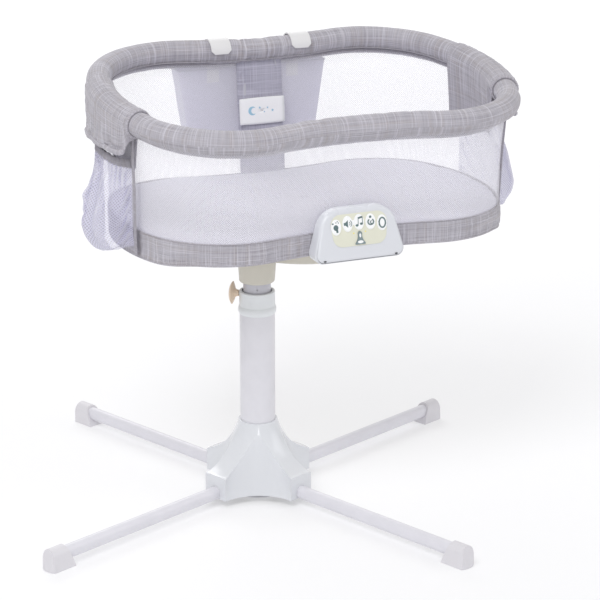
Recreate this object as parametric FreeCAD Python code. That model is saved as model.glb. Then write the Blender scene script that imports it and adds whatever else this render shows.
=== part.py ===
# Bassinet on a stand: a four-legged base, a telescoping pole with a spring pull knob, a swivelling
# arm and an hourglass sleeping basket with a padded rail whose front half swings down.
# Units are millimetres. The origin is on the floor on the pole's axis, +Z is up and +X is along the
# basket. Basket pieces are drawn about the basket's own centre and moved to it at the end.
import FreeCAD, Part
import math
import os
from functools import partial
from FreeCAD import Vector

# --- stand ---
first_leg_angle = 23.3
foot_reach = 605.0
foot_length = 62.0
foot_half_width = 19.6
foot_shoulder_half_width = 16.5
foot_shoulder_height = 30.0
foot_height = 47.0
foot_inner_slope = 18.0
foot_outer_slope = 8.0
foot_end_bulge = 34.0
foot_socket_depth = 46.0
hub_rim_draft = 10.0
hub_shoulder_step = 6.0
hub_crest_inset = 24.0
leg_height = 30.0
leg_width = 25.0
leg_wall = 1.8
leg_floor_gap = 12.0
leg_inner_end = 50.0
leg_seat_clearance = 0.2
hub_floor_gap = 15.0
hub_top_height = 165.0
hub_top_radius = 42.6
lobe_reach = 131.0
lobe_half_width = 31.0
lobe_shoulder_height = 50.0
lobe_crest_height = 68.0
hub_waist_reach = 64.0
hub_waist_height = 117.0
panel_reach_low = 84.0
panel_reach_high = 44.0
hub_wall = 3.0
core_radius = 46.0
core_height = 84.0
core_arm_half_width = 20.0
core_arm_reach = 118.0
core_arm_height = 48.0
base_plate_radius = 74.0
base_plate_thickness = 3.0
core_floor = 2.0
leg_screw_radius = 3.0
leg_screw_head_radius = 6.0
leg_screw_head_height = 3.0
leg_screw_place = 92.0

# --- pole ---
column_radius = 38.2
column_wall = 2.0
column_foot = 24.0
column_top = 438.0
collar_top = 458.0
collar_bottom = 408.0
collar_radius = 38.6
collar_mouth_radius = 33.0
collar_bead_radius = 41.2
collar_bead_height = 18.0
bush_bottom = 380.0
mast_radius = 29.9
mast_wall = 2.0
mast_bottom = 70.0
mast_top = 556.0
guide_height = 40.0
running_gap = 0.08
collar_round = 2.0
bush_lip_drop = 4.0
guide_floor = 8.0
keyway_half_width = 4.6
mast_hole_radius = 1.4
mast_hole_height = 467.0
mast_hole_angle = -111.6

# --- height knob ---
knob_angle = 146.0
knob_height = 449.0
knob_pin_radius = 4.0
knob_pin_inner_end = 26.5
knob_face = 60.0
knob_disc_radius = 25.0
knob_disc_thickness = 11.0
knob_neck_radius = 7.0
knob_crown = 4.0
knob_gap = 1.2
knob_travel_out = 6.0
spring_wall = 1.2
spring_skin = 1.5
spring_end_gap = 0.4
height_travel_down = 15.0
height_travel_up = 240.0

# --- swivel arm ---
basket_x = 154.0
basket_y = 106.0
sleeve_bottom = 479.0
sleeve_radius = 38.5
sleeve_wall = 4.0
sleeve_round = 4.0
sleeve_draft = 2.5
bush_recess = 1.0
pan_bottom = 517.0
pan_radius_low = 170.0
pan_radius_high = 182.0
pan_wall = 4.0
pan_edge_radius = 8.0
arm_top = 572.0
head_flange_height = 4.0

# --- basket outline in plan: an hourglass of tangent arcs ---
mattress_half_length = 422.0
lobe_side_half_width = 274.0
waist_half_width = 250.0
lobe_centre_to_end = 197.7
lobe_corner_radius = 179.0
band_outset = 4.5
band_thickness = 3.0
band_top = 618.0
band_bottom = 572.4
tray_thickness = 4.0
ring_tube_radius = 8.0
ring_vent_radius = 1.5
steel_tube_wall = 1.5
ring_inset = 10.5
mattress_thickness = 25.0
mattress_gap = 0.4

# --- top rail: the outline lifted on a plane that slopes down to the front ---
rail_height = 868.0
rail_tilt = 7.2
rail_outset = 18.0
rail_tube_radius = 8.0
rail_pad_radius = 26.0
hinge_y = -95.0
rear_tube_end_y = -72.0
rear_pad_end_y = -58.0
front_tube_end_y = -112.0
front_pad_end_y = -126.0
front_drop = 24.0
hinge_pin_radius = 3.0
hinge_eye_radius = 9.0
hinge_cheek_radius = 10.0
hinge_cheek_thickness = 4.0
hinge_tongue_thickness = 6.0
hinge_side_gap = 0.3
hinge_pin_clearance = 0.06
hinge_head_radius = 5.0
hinge_head_thickness = 1.5
hinge_spring_width = 5.0
hinge_bridge_length = 8.0
hinge_bridge_step = 2.0
hinge_eye_reach = 14.0
cuff_fullness = 4.0
cuff_clearance = 1.0
cuff_rear_y = 112.0
cuff_mouth_inset = 6.0

# --- mesh walls, end covers, pockets ---
wall_outset_low = 4.0
wall_outset_high = 13.0
wall_thickness = 2.0
wall_rail_gap = 1.2
fabric_gap = 0.3
fold_gap = 5.0
end_wall_front_y = -104.0
end_wall_rear_y = 100.0
flap_outset = 43.0
flap_thickness = 3.0
flap_bottom = 790.0
flap_front_y = -90.0
flap_rear_y = 100.0
lining_headroom = 8.0
lining_thickness = 2.0
lining_bottom = 745.0
pocket_top = 765.0
pocket_bottom = 576.0
pocket_half_span = 98.0
pocket_bulge_high = 40.0
pocket_bulge_low = 66.0
pocket_sheet = 2.5
pocket_wall_gap = 1.0
pocket_side_depth = 6.0

# --- rear post, caddy ---
post_half_spacing = 38.0
post_tube_radius = 6.0
post_cross_radius = 4.5
post_cover_half_width = 54.0
post_cover_thickness = 16.0
post_foot_inset = 13.0
post_cross_height = 60.0
post_notch_gap = 0.5
caddy_half_width = 178.0
caddy_front_gap = 0.3
caddy_depth = 70.0
caddy_top = 858.0
caddy_bottom = 700.0
caddy_sheet = 3.0
caddy_corner = 24.0
caddy_front_corner = 4.0
hook_spacing = 194.0
hook_width = 47.0
hook_thickness = 3.0
hook_tab_width = 29.0
hook_tab_bottom = 826.0
hook_lip_drop = 1.0
hook_lip_chamfer = 8.0
hook_back_drop = 22.0
hook_gap = 1.5

# --- control pod on the front waist ---
pod_back_gap = 7.4
pod_bottom = 561.0
pod_top = 671.0
pod_half_width_low = 106.0
pod_half_width_high = 78.0
pod_corner_low = 18.0
pod_corner_high = 48.0
pod_depth_low = 44.0
pod_face_tilt = 11.9
pod_edge_radius = 9.0
pod_wall = 2.5
pod_back_thickness = 2.5
pod_back_fit = 0.2
face_centre_height = 622.0
overlay_half_width = 66.5
overlay_half_width_low = 58.0
overlay_low = -29.0
overlay_high = 39.0
overlay_corner = 22.0
overlay_thickness = 0.8
button_count = 5
button_pitch = 26.0
button_half_height = 15.0
button_half_width = 10.2
button_centre_height = 20.0
button_arc_radius = 210.0
button_gap = 0.35
button_proud = 2.6
button_flange = 1.4
button_flange_thickness = 1.2
button_rest_gap = 0.3
button_travel = 1.2
bell_centre_height = -13.0
bell_half_height = 13.5
bell_half_base = 11.0
bell_half_neck = 4.6
board_half_width = 74.0
board_half_height = 24.0
board_thickness = 1.6
board_gap = 1.0
board_lift = 2.0
speaker_radius = 20.0
speaker_height = 9.0
speaker_lift = 8.0
cell_radius = 7.2
cell_length = 50.0
cell_gap = 1.2
door_half_width = 60.0
door_depth = 20.0
door_gap = 0.3
door_inset = 4.0

# --- worked out from the sizes above ---
UP = Vector(0, 0, 1)
ALONG = Vector(1, 0, 0)
ACROSS = Vector(0, 1, 0)
ORIGIN = Vector(0, 0, 0)
leg_axis_height = leg_floor_gap + leg_height / 2
lobe_centre_x = mattress_half_length - lobe_centre_to_end
cuff_radius = rail_pad_radius + cuff_fullness
leg_angles = {"right_rear": first_leg_angle, "left_rear": first_leg_angle + 90,
              "left_front": first_leg_angle + 180, "right_front": first_leg_angle + 270}
rear_half = [0, 1, 2, 3, 4]
front_half = [4, 5, 6, 7, 0]
nodes = {}
basket_nodes = {}


def polar(radius, angle, z=0.0):
    return Vector(radius * math.cos(math.radians(angle)), radius * math.sin(math.radians(angle)), z)


def arc(start, middle, end):
    return Part.Arc(start, middle, end).toShape()


def line(start, end):
    return Part.LineSegment(start, end).toShape()


def closed(corners):
    """Straight edges round a list of corners."""
    return [line(corner, corners[(i + 1) % len(corners)]) for i, corner in enumerate(corners)]


def prism(edges, direction):
    """Straight solid over a closed chain of edges."""
    return Part.Face(Part.Wire(edges)).extrude(direction)


def cylinder(radius, low, high, centre=ORIGIN):
    return Part.makeCylinder(radius, high - low, Vector(centre.x, centre.y, low), UP)


def block(x0, x1, y0, y1, z0, z1):
    return Part.makeBox(x1 - x0, y1 - y0, z1 - z0, Vector(x0, y0, z0))


def turned(profile_points, arcs=()):
    """Solid of revolution about Z; arcs names the points that are the middle of a three-point arc."""
    edges = []
    index = 0
    count = len(profile_points)
    while index < count:
        start = profile_points[index]
        after = (index + 1) % count
        if after in arcs:
            end = profile_points[(index + 2) % count]
            edges.append(arc(start, profile_points[after], end))
            index += 2
        else:
            edges.append(line(start, profile_points[after]))
            index += 1
    return Part.Face(Part.Wire(edges)).revolve(ORIGIN, UP, 360)


def rz(radius, z):
    return Vector(radius, 0, z)


def rotated(shape, axis, angle, centre=ORIGIN):
    copy = shape.copy()
    copy.rotate(centre, axis, angle)
    return copy


def moved(shape, offset):
    copy = shape.copy()
    copy.translate(offset)
    return copy


def one_solid(shape):
    """The shape as its single solid, with needless seams between fused pieces removed."""
    clean = shape.removeSplitter()
    return clean.Solids[0] if len(clean.Solids) == 1 else clean


# --- plan outline ---
def outline_shape(offset):
    """Centres, radii and turning angles of the hourglass outline grown by offset."""
    reach = mattress_half_length + offset
    waist = waist_half_width + offset
    corner = lobe_corner_radius + offset
    cx = lobe_centre_x
    cy = lobe_side_half_width - lobe_corner_radius
    end = ((cx - reach) ** 2 + cy ** 2 - corner ** 2) / (2 * (reach - cx - corner))
    hollow = (cx ** 2 + (cy - waist) ** 2 - corner ** 2) / (2 * (cy + corner - waist))
    end_angle = math.degrees(math.atan2(cy, cx - (reach - end)))
    waist_angle = math.degrees(math.atan2(cx, waist + hollow - cy))
    return {"end_x": reach - end, "end_r": end, "cx": cx, "cy": cy, "corner_r": corner,
            "waist_y": waist + hollow, "waist_r": hollow, "end_angle": end_angle,
            "waist_angle": waist_angle}


def outline_arcs(offset):
    """The outline's eight arcs, anticlockwise from the right end: centre x, y, radius, start, end."""
    s = outline_shape(offset)
    a = s["end_angle"]
    w = s["waist_angle"]
    corner = s["corner_r"]
    return [(s["end_x"], 0, s["end_r"], -a, a),
            (s["cx"], s["cy"], corner, a, 90 + w),
            (0, s["waist_y"], s["waist_r"], -90 + w, -90 - w),
            (-s["cx"], s["cy"], corner, 90 - w, 180 - a),
            (-s["end_x"], 0, s["end_r"], 180 - a, 180 + a),
            (-s["cx"], -s["cy"], corner, 180 + a, 270 + w),
            (0, -s["waist_y"], s["waist_r"], 90 + w, 90 - w),
            (s["cx"], -s["cy"], corner, 270 - w, 360 - a)]


def arc_edge(item, z=0.0):
    x, y, radius, start, end = item
    centre = Vector(x, y, z)
    points = [centre + polar(radius, angle) for angle in (start, (start + end) / 2, end)]
    return arc(*points)


def outline_wire(offset, z):
    return Part.Wire([arc_edge(item, z) for item in outline_arcs(offset)])


def outline_solid(offset, low, high):
    return Part.Face(outline_wire(offset, low)).extrude(Vector(0, 0, high - low))


def leaning_ring(offset_low, offset_high, thickness, low, high):
    """A sheet wall that follows the outline and leans from one offset to another."""
    outer = Part.makeLoft([outline_wire(offset_low, low), outline_wire(offset_high, high)], True, True)
    inner = Part.makeLoft([outline_wire(offset_low - thickness, low),
                           outline_wire(offset_high - thickness, high)], True, True)
    return outer.cut(inner)


# --- rail plane ---
def on_rail_plane(shape):
    """Lift something drawn in the outline's plane onto the sloping rail plane."""
    return moved(rotated(shape, ALONG, rail_tilt), Vector(0, 0, rail_height))


def rail_y_in_plane(y):
    return y / math.cos(math.radians(rail_tilt))


def rail_centre(y):
    """The point of the rail's centre line at the right end for a given y."""
    s = outline_shape(rail_outset)
    flat = rail_y_in_plane(y)
    x = s["end_x"] + math.sqrt(s["end_r"] ** 2 - flat ** 2)
    return Vector(x, y, rail_height + flat * math.sin(math.radians(rail_tilt)))


def end_arc_angle(y):
    return math.degrees(math.asin(rail_y_in_plane(y) / outline_shape(rail_outset)["end_r"]))


def trimmed_arcs(end_y, order):
    """The rail's arcs in the given order, cut off at both ends where they reach end_y."""
    arcs = outline_arcs(rail_outset)
    angle = end_arc_angle(end_y)
    picked = []
    for index in order:
        x, y, radius, start, end = arcs[index]
        if index == 0 and order[0] == 0:
            start = angle
        if index == 0 and order[-1] == 0:
            end = angle
        if index == 4 and order[-1] == 4:
            end = 180 - angle
        if index == 4 and order[0] == 4:
            start = 180 - angle
        picked.append((x, y, radius, start, end))
    return picked


def pipe(arcs, radius):
    """Round bar swept along arcs in the outline's plane, as one solid of torus pieces."""
    pieces = []
    for x, y, bend, start, end in arcs:
        centre = Vector(x, y, 0)
        place = centre + polar(bend, start)
        tangent = UP.cross(polar(1, start))
        circle = Part.Wire(Part.makeCircle(radius, place, tangent))
        pieces.append(Part.Face(circle).revolve(centre, UP, end - start))
    whole = pieces[0]
    for piece in pieces[1:]:
        whole = whole.fuse(piece)
    return one_solid(whole)


def rail_bar(order, end_y, radius):
    return on_rail_plane(pipe(trimmed_arcs(end_y, order), radius))


def below_plane(tilt, pivot_y, pivot_z, drop):
    """A big block filling everything under a plane that slopes along Y through a pivot."""
    size = 2 * (mattress_half_length + foot_reach)
    slab = block(-size, size, -size, size, -size, -drop)
    return moved(rotated(slab, ALONG, tilt), Vector(0, pivot_y, pivot_z))


# --- stand pieces ---
def star_wire(z, shrink):
    """The hub's plan: four flat lobe ends joined by hollow panels."""
    share = (z - hub_floor_gap) / (hub_top_height - hub_floor_gap)
    panel = panel_reach_low + (panel_reach_high - panel_reach_low) * share - shrink
    reach = lobe_reach - shrink
    half = lobe_half_width - shrink
    edges = []
    for angle in leg_angles.values():
        after = angle + 90
        side = polar(half, after)
        left = polar(reach, angle, z) + side
        right = polar(reach, angle, z) - side
        following = polar(reach, after, z) - polar(half, after + 90)
        edges.append(line(right, left))
        edges.append(arc(left, polar(panel, angle + 45, z), following))
    return Part.Wire(edges)


def hub_form(shrink):
    """The hub's outer form, or its cavity when shrunk: a flared cone cut by the hollow panels."""
    top = hub_top_height - shrink
    star = Part.makeLoft([star_wire(hub_floor_gap, shrink), star_wire(hub_top_height, shrink)], True, True)
    rim = lobe_reach + foot_half_width - shrink
    shoulder = rim - hub_rim_draft
    bend = Vector(shoulder - hub_shoulder_step / 2, 0, lobe_crest_height - hub_shoulder_step - shrink)
    profile = [rz(0, hub_floor_gap), rz(rim, hub_floor_gap), rz(shoulder, lobe_shoulder_height - shrink),
               bend, rz(rim - hub_crest_inset, lobe_crest_height - shrink),
               rz(hub_waist_reach - shrink, hub_waist_height - shrink),
               rz(hub_top_radius - shrink / 3, top), rz(0, top)]
    return star.common(turned(profile, arcs=(3, 5)))


def leg_section(grow):
    """Flat-sided oval, tall way up, across a leg that runs along X."""
    half_width = leg_width / 2 + grow
    straight = (leg_height - leg_width) / 2
    z = leg_axis_height
    low_left = Vector(0, -half_width, z - straight)
    low_right = Vector(0, half_width, z - straight)
    high_left = Vector(0, -half_width, z + straight)
    high_right = Vector(0, half_width, z + straight)
    bottom = Vector(0, 0, z - straight - half_width)
    top = Vector(0, 0, z + straight + half_width)
    return [arc(low_left, bottom, low_right), line(low_right, high_right),
            arc(high_right, top, high_left), line(high_left, low_left)]


def leg_bar(start, end, grow):
    return moved(prism(leg_section(grow), Vector(end - start, 0, 0)), Vector(start, 0, 0))


def foot_cap():
    """Wedge-faced cap with a rounded back that stands on the floor, drawn along +X."""
    left = Vector(0, foot_half_width, 0)
    right = Vector(0, -foot_half_width, 0)
    left_shoulder = Vector(0, foot_shoulder_half_width, foot_shoulder_height)
    right_shoulder = Vector(0, -foot_shoulder_half_width, foot_shoulder_height)
    section = [line(right, left), line(left, left_shoulder),
               arc(left_shoulder, Vector(0, 0, foot_height), right_shoulder), line(right_shoulder, right)]
    body = moved(prism(section, Vector(foot_length, 0, 0)), Vector(foot_reach - foot_length, 0, 0))
    inner = foot_reach - foot_length
    side = [Vector(inner, 0, 0), Vector(foot_reach, 0, 0),
            Vector(foot_reach - foot_outer_slope, 0, foot_height),
            Vector(inner + foot_inner_slope, 0, foot_height)]
    wedge = moved(prism(closed(side), Vector(0, 2 * foot_half_width, 0)), Vector(0, -foot_half_width, 0))
    bulge_x = foot_reach - foot_end_bulge
    nose = cylinder(foot_end_bulge, 0, foot_height, Vector(bulge_x, 0, 0))
    keep = nose.fuse(block(inner, bulge_x, -foot_half_width, foot_half_width, 0, foot_height))
    return body.common(wedge).common(keep)


def make_legs():
    outer_end = foot_reach - foot_length + foot_socket_depth
    tube = leg_bar(leg_inner_end, outer_end, 0).cut(leg_bar(leg_inner_end, outer_end, -leg_wall))
    cap = foot_cap().cut(leg_bar(foot_reach - foot_length, outer_end, leg_seat_clearance))
    screws = []
    for name, angle in leg_angles.items():
        nodes["leg_" + name] = rotated(tube, UP, angle)
        nodes["foot_cap_" + name] = rotated(one_solid(cap), UP, angle)
        screws.append(rotated(leg_screw(), UP, angle))
    nodes["leg_screws"] = Part.makeCompound(screws)


def leg_screw():
    """Pan-head screw driven up through the core into a leg."""
    place = Vector(leg_screw_place, 0, 0)
    head_top = leg_floor_gap - core_floor
    shank = cylinder(leg_screw_radius, head_top, leg_floor_gap + leg_wall + leg_screw_radius, place)
    head = cylinder(leg_screw_head_radius, head_top - leg_screw_head_height, head_top, place)
    return shank.fuse(head).removeSplitter()


def make_hub():
    form = hub_form(0)
    cavity = hub_form(hub_wall)
    opening = cylinder(column_radius + leg_seat_clearance, hub_floor_gap, hub_top_height + 1)
    cover = form.cut(cavity).cut(opening)
    core_bottom = leg_floor_gap - core_floor
    core = cylinder(core_radius, core_bottom, core_height)
    half = core_arm_half_width
    arm = block(0, core_arm_reach, -half, half, core_bottom, core_arm_height)
    window = leg_bar(core_arm_reach / 2, 2 * lobe_reach, leg_seat_clearance)
    for angle in leg_angles.values():
        core = core.fuse(rotated(arm, UP, angle))
        cover = cover.cut(rotated(window, UP, angle))
    for angle in leg_angles.values():
        core = core.cut(rotated(leg_bar(leg_inner_end, 2 * lobe_reach, 0), UP, angle))
    core = core.cut(cylinder(column_radius, column_foot, core_height + 1)).cut(nodes["leg_screws"])
    nodes["hub_cover"] = one_solid(cover)
    nodes["hub_core"] = one_solid(core)
    nodes["hub_base_plate"] = cylinder(base_plate_radius, core_bottom - base_plate_thickness, core_bottom)
    for name in list(nodes):
        if name.startswith("leg_") and name != "leg_screws":
            nodes[name] = one_solid(nodes[name].cut(nodes["leg_screws"]))


def knob_bore(radius, start, end):
    bar = Part.makeCylinder(radius, end - start, Vector(start, 0, knob_height), ALONG)
    return rotated(bar, UP, knob_angle)


def make_pole():
    pin_hole = knob_bore(knob_pin_radius + running_gap, 0, knob_face)
    spring_room = knob_bore(knob_pin_radius + spring_wall + 2 * running_gap,
                            mast_radius + spring_skin, collar_radius - spring_skin)
    nodes["column_tube"] = cylinder(column_radius, column_foot, column_top).cut(
        cylinder(column_radius - column_wall, column_foot, column_top))
    bead_low = collar_bottom
    bead_high = collar_bottom + collar_bead_height
    bead_middle = (bead_low + bead_high) / 2
    turn = 0.3 * collar_round
    collar = turned([rz(column_radius, bead_low), rz(collar_radius, bead_low),
                     rz(collar_bead_radius, bead_middle), rz(collar_radius, bead_high),
                     rz(collar_radius, collar_top - collar_round),
                     rz(collar_radius - turn, collar_top - turn),
                     rz(collar_radius - collar_round, collar_top), rz(collar_mouth_radius, collar_top),
                     rz(collar_mouth_radius, column_top), rz(column_radius, column_top)], arcs=(2, 5))
    nodes["column_collar"] = collar.cut(pin_hole).cut(spring_room)
    bush = cylinder(column_radius - column_wall, bush_bottom, column_top).fuse(
        cylinder(collar_mouth_radius, column_top, collar_top - bush_lip_drop))
    bush = bush.cut(cylinder(mast_radius + running_gap, bush_bottom, collar_top)).cut(pin_hole)
    nodes["collar_bush"] = one_solid(bush.cut(spring_room))
    mast = cylinder(mast_radius, mast_bottom, mast_top).cut(
        cylinder(mast_radius - mast_wall, mast_bottom, mast_top))
    slot_low = knob_height - height_travel_up - 2 * keyway_half_width
    slot_high = knob_height + height_travel_down + keyway_half_width
    slot = block(mast_radius - 2 * mast_wall, mast_radius + mast_wall, -keyway_half_width,
                 keyway_half_width, slot_low, slot_high)
    hole = Part.makeCylinder(mast_hole_radius, mast_radius, Vector(0, 0, mast_hole_height), ALONG)
    nodes["mast_tube"] = mast.cut(rotated(slot, UP, knob_angle)).cut(rotated(hole, UP, mast_hole_angle))
    guide_low = mast_bottom - guide_floor
    guide_high = mast_bottom + guide_height
    guide = cylinder(column_radius - column_wall - running_gap, guide_low, guide_high)
    guide = guide.cut(cylinder(mast_radius, mast_bottom, guide_high))
    nodes["mast_guide"] = guide.cut(cylinder(mast_radius - 2 * mast_wall, guide_low, mast_bottom))
    head = cylinder(mast_radius - mast_wall, mast_top - guide_height, mast_top).fuse(
        cylinder(mast_radius, mast_top, mast_top + head_flange_height))
    nodes["mast_head"] = one_solid(head.cut(cylinder(mast_radius / 2, mast_top - guide_height,
                                                     mast_top + head_flange_height)))


def along_knob(shape):
    """Lay something drawn about Z out along the knob's direction."""
    return rotated(moved(rotated(shape, ACROSS, 90), Vector(0, 0, knob_height)), UP, knob_angle)


def make_knob():
    """Mushroom knob on a plain pin, with a ring-shaped spring under the collar's skin."""
    disc_back = knob_face - knob_disc_thickness
    neck_start = collar_radius + knob_gap
    pin_end = knob_face - knob_crown
    profile = [rz(knob_pin_radius, neck_start), rz(knob_neck_radius, neck_start),
               rz(knob_neck_radius + 1.5, disc_back - 3), rz(knob_disc_radius - 8, disc_back + 1.5),
               rz(knob_disc_radius, knob_face - 1.5 * knob_crown),
               rz(knob_disc_radius * 0.72, knob_face - 0.4 * knob_crown),
               rz(knob_pin_radius, knob_face), rz(0, knob_face), rz(0, pin_end),
               rz(knob_pin_radius, pin_end)]
    nodes["knob_cap"] = along_knob(turned(profile, arcs=(2, 5)))
    nodes["knob_pin"] = along_knob(cylinder(knob_pin_radius, knob_pin_inner_end, pin_end))
    spring_start = mast_radius + spring_skin + spring_end_gap
    spring_end = collar_radius - spring_skin - spring_end_gap
    bore = knob_pin_radius + running_gap
    ring = cylinder(bore + spring_wall, spring_start, spring_end)
    nodes["knob_spring"] = along_knob(ring.cut(cylinder(bore, spring_start, spring_end)))


# --- swivel arm, drawn about the pole ---
def make_arm():
    centre = Vector(basket_x, basket_y, 0)
    seat = arm_top - pan_wall
    turn = 0.3 * pan_edge_radius
    pan_profile = [rz(0, pan_bottom), rz(pan_radius_low - pan_edge_radius, pan_bottom),
                   rz(pan_radius_low - turn, pan_bottom + turn),
                   rz(pan_radius_low + turn / 2, pan_bottom + pan_edge_radius),
                   rz(pan_radius_high, arm_top), rz(0, arm_top)]
    hollow_bottom = pan_bottom + pan_wall
    hollow_profile = [rz(0, hollow_bottom), rz(pan_radius_low - pan_edge_radius, hollow_bottom),
                      rz(pan_radius_high - pan_wall, arm_top), rz(0, arm_top)]
    pan = moved(turned(pan_profile, arcs=(2,)), centre)
    hollow = moved(turned(hollow_profile), centre)
    edge = 0.3 * sleeve_round
    sleeve = turned([rz(0, sleeve_bottom), rz(sleeve_radius - sleeve_round, sleeve_bottom),
                     rz(sleeve_radius - edge, sleeve_bottom + edge),
                     rz(sleeve_radius, sleeve_bottom + sleeve_round),
                     rz(sleeve_radius + sleeve_draft, pan_bottom + pan_wall),
                     rz(sleeve_radius + sleeve_draft, arm_top), rz(0, arm_top)], arcs=(2,))
    bush_radius = sleeve_radius - sleeve_wall
    arm = pan.cut(hollow).fuse(sleeve).cut(cylinder(bush_radius, sleeve_bottom, seat))
    nodes["swivel_arm"] = one_solid(arm)
    bore = cylinder(mast_radius + running_gap, sleeve_bottom, mast_top + head_flange_height + running_gap)
    nodes["swivel_bush"] = cylinder(bush_radius, sleeve_bottom + bush_recess, seat).cut(bore)


# --- basket, drawn about its own centre ---
def make_floor():
    tray_top = band_bottom + tray_thickness
    ring_centre = tray_top + ring_tube_radius
    basket_nodes["floor_tray"] = outline_solid(band_outset - band_thickness, band_bottom, tray_top)
    ring = pipe(outline_arcs(-ring_inset), ring_tube_radius)
    hollow = pipe(outline_arcs(-ring_inset), ring_tube_radius - steel_tube_wall)
    vent = cylinder(ring_vent_radius, -ring_tube_radius, 0, Vector(0, ring_inset - waist_half_width, 0))
    ring = ring.cut(hollow).cut(vent)
    basket_nodes["base_ring"] = moved(ring, Vector(0, 0, ring_centre))
    low = band_top - mattress_thickness
    pad = outline_solid(band_outset - band_thickness - mattress_gap, low, band_top)
    basket_nodes["mattress"] = one_solid(pad.cut(uprights(post_notch_gap)))
    band = outline_solid(band_outset, band_bottom, band_top)
    room = outline_solid(band_outset - band_thickness, band_bottom, band_top)
    basket_nodes["fabric_band"] = band.cut(room)


def hinge_point():
    return rail_centre(hinge_y)


def mirrored(shape):
    return shape.mirror(ORIGIN, ALONG)


def hinge_bar(radius, start, end):
    """Cylinder along the right hinge's axis between two distances from its centre."""
    centre = hinge_point()
    return Part.makeCylinder(radius, end - start, centre + Vector(start, 0, 0), ALONG)


def hinge_block():
    """Plastic fork on the end of the rear tube, with two cheeks on the pin."""
    centre = hinge_point()
    inside = hinge_tongue_thickness / 2 + hinge_side_gap
    outside = inside + hinge_cheek_thickness
    root_y = rear_pad_end_y
    bridge_y = rear_tube_end_y - hinge_bridge_length
    cheeks = None
    for low, high in ((inside, outside), (-outside, -inside)):
        plate = block(centre.x + low, centre.x + high, centre.y, root_y,
                      centre.z - hinge_cheek_radius, centre.z + hinge_cheek_radius)
        cheek = plate.fuse(hinge_bar(hinge_cheek_radius, low, high))
        cheeks = cheek if cheeks is None else cheeks.fuse(cheek)
    bridge = block(centre.x - outside - hinge_bridge_step, centre.x + outside, bridge_y, root_y,
                   centre.z - hinge_cheek_radius, centre.z + hinge_cheek_radius + hinge_bridge_step)
    fork = cheeks.fuse(bridge).cut(hinge_bar(hinge_pin_radius, -2 * outside, 2 * outside))
    return one_solid(fork.cut(rail_bar(rear_half, rear_tube_end_y, rail_tube_radius)))


def hinge_pin():
    inside = hinge_tongue_thickness / 2 + hinge_side_gap
    outside = inside + hinge_cheek_thickness
    pin = hinge_bar(hinge_pin_radius, -outside, outside)
    for start in (-outside - hinge_head_thickness, outside):
        pin = pin.fuse(hinge_bar(hinge_head_radius, start, start + hinge_head_thickness))
    return pin.removeSplitter()


def hinge_spring():
    inside = hinge_tongue_thickness / 2 + hinge_side_gap
    start = inside + hinge_cheek_thickness + hinge_head_thickness
    end = start + hinge_spring_width
    room = hinge_bar(hinge_head_radius + hinge_side_gap, start, end)
    return hinge_bar(hinge_eye_radius, start, end).cut(room)


def front_frame():
    """Front rail tube with a flat eye welded to each end."""
    centre = hinge_point()
    half = hinge_tongue_thickness / 2
    tube = rail_bar(front_half, front_tube_end_y, rail_tube_radius)
    tube = tube.cut(rail_bar(front_half, front_tube_end_y, rail_tube_radius - steel_tube_wall))
    start = rail_centre(front_tube_end_y)
    slope = math.tan(math.radians(rail_tilt))
    reach = start.y - hinge_eye_reach
    reach_z = start.z - slope * hinge_eye_reach
    side = centre.x - half
    corners = [Vector(side, centre.y, centre.z - hinge_eye_radius),
               Vector(side, centre.y, centre.z + hinge_eye_radius),
               Vector(side, reach, reach_z + hinge_eye_radius),
               Vector(side, reach, reach_z - hinge_eye_radius)]
    eye = prism(closed(corners), Vector(2 * half, 0, 0)).fuse(hinge_bar(hinge_eye_radius, -half, half))
    eye = eye.cut(hinge_bar(hinge_pin_radius + hinge_pin_clearance, -2 * half, 2 * half))
    return one_solid(tube.fuse(eye).fuse(mirrored(eye)))


def make_rails():
    posts = rear_post()
    rear_bar = rail_bar(rear_half, rear_tube_end_y, rail_tube_radius)
    rear_pad = rail_bar(rear_half, rear_pad_end_y, rail_pad_radius)
    hollow = rail_bar(rear_half, rear_tube_end_y, rail_tube_radius - steel_tube_wall)
    basket_nodes["rear_rail_tube"] = rear_bar.cut(hollow)
    room = moved(pipe(outline_arcs(-ring_inset), ring_tube_radius),
                 Vector(0, 0, band_bottom + tray_thickness + ring_tube_radius))
    post = posts.cut(rear_bar).cut(room).cut(basket_nodes["floor_tray"])
    basket_nodes["rear_post"] = one_solid(post)
    pad = rear_pad.cut(rear_bar).cut(posts)
    basket_nodes["rear_rail_pad"] = one_solid(pad)
    fork = one_solid(hinge_block().cut(rear_pad))
    basket_nodes["hinge_blocks"] = Part.makeCompound([fork, mirrored(fork)])
    basket_nodes["hinge_pins"] = Part.makeCompound([hinge_pin(), mirrored(hinge_pin())])
    basket_nodes["hinge_springs"] = Part.makeCompound([hinge_spring(), mirrored(hinge_spring())])
    frame = front_frame()
    basket_nodes["front_rail_frame"] = frame
    front_bar = rail_bar(front_half, front_tube_end_y, rail_tube_radius)
    front_pad = rail_bar(front_half, front_pad_end_y, rail_pad_radius)
    basket_nodes["front_rail_pad"] = one_solid(front_pad.cut(front_bar).cut(frame))


def post_line(height):
    """The y of the post's centre plane, leaning with the wall."""
    low_y = waist_half_width - post_foot_inset
    s = outline_shape(rail_outset)
    top_flat = s["waist_y"] - s["waist_r"]
    top_y = top_flat * math.cos(math.radians(rail_tilt))
    top_z = rail_height + top_flat * math.sin(math.radians(rail_tilt))
    low_z = band_bottom + tray_thickness
    share = (height - low_z) / (top_z - low_z)
    return low_y + (top_y - low_y) * share, low_z, top_z


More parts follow.
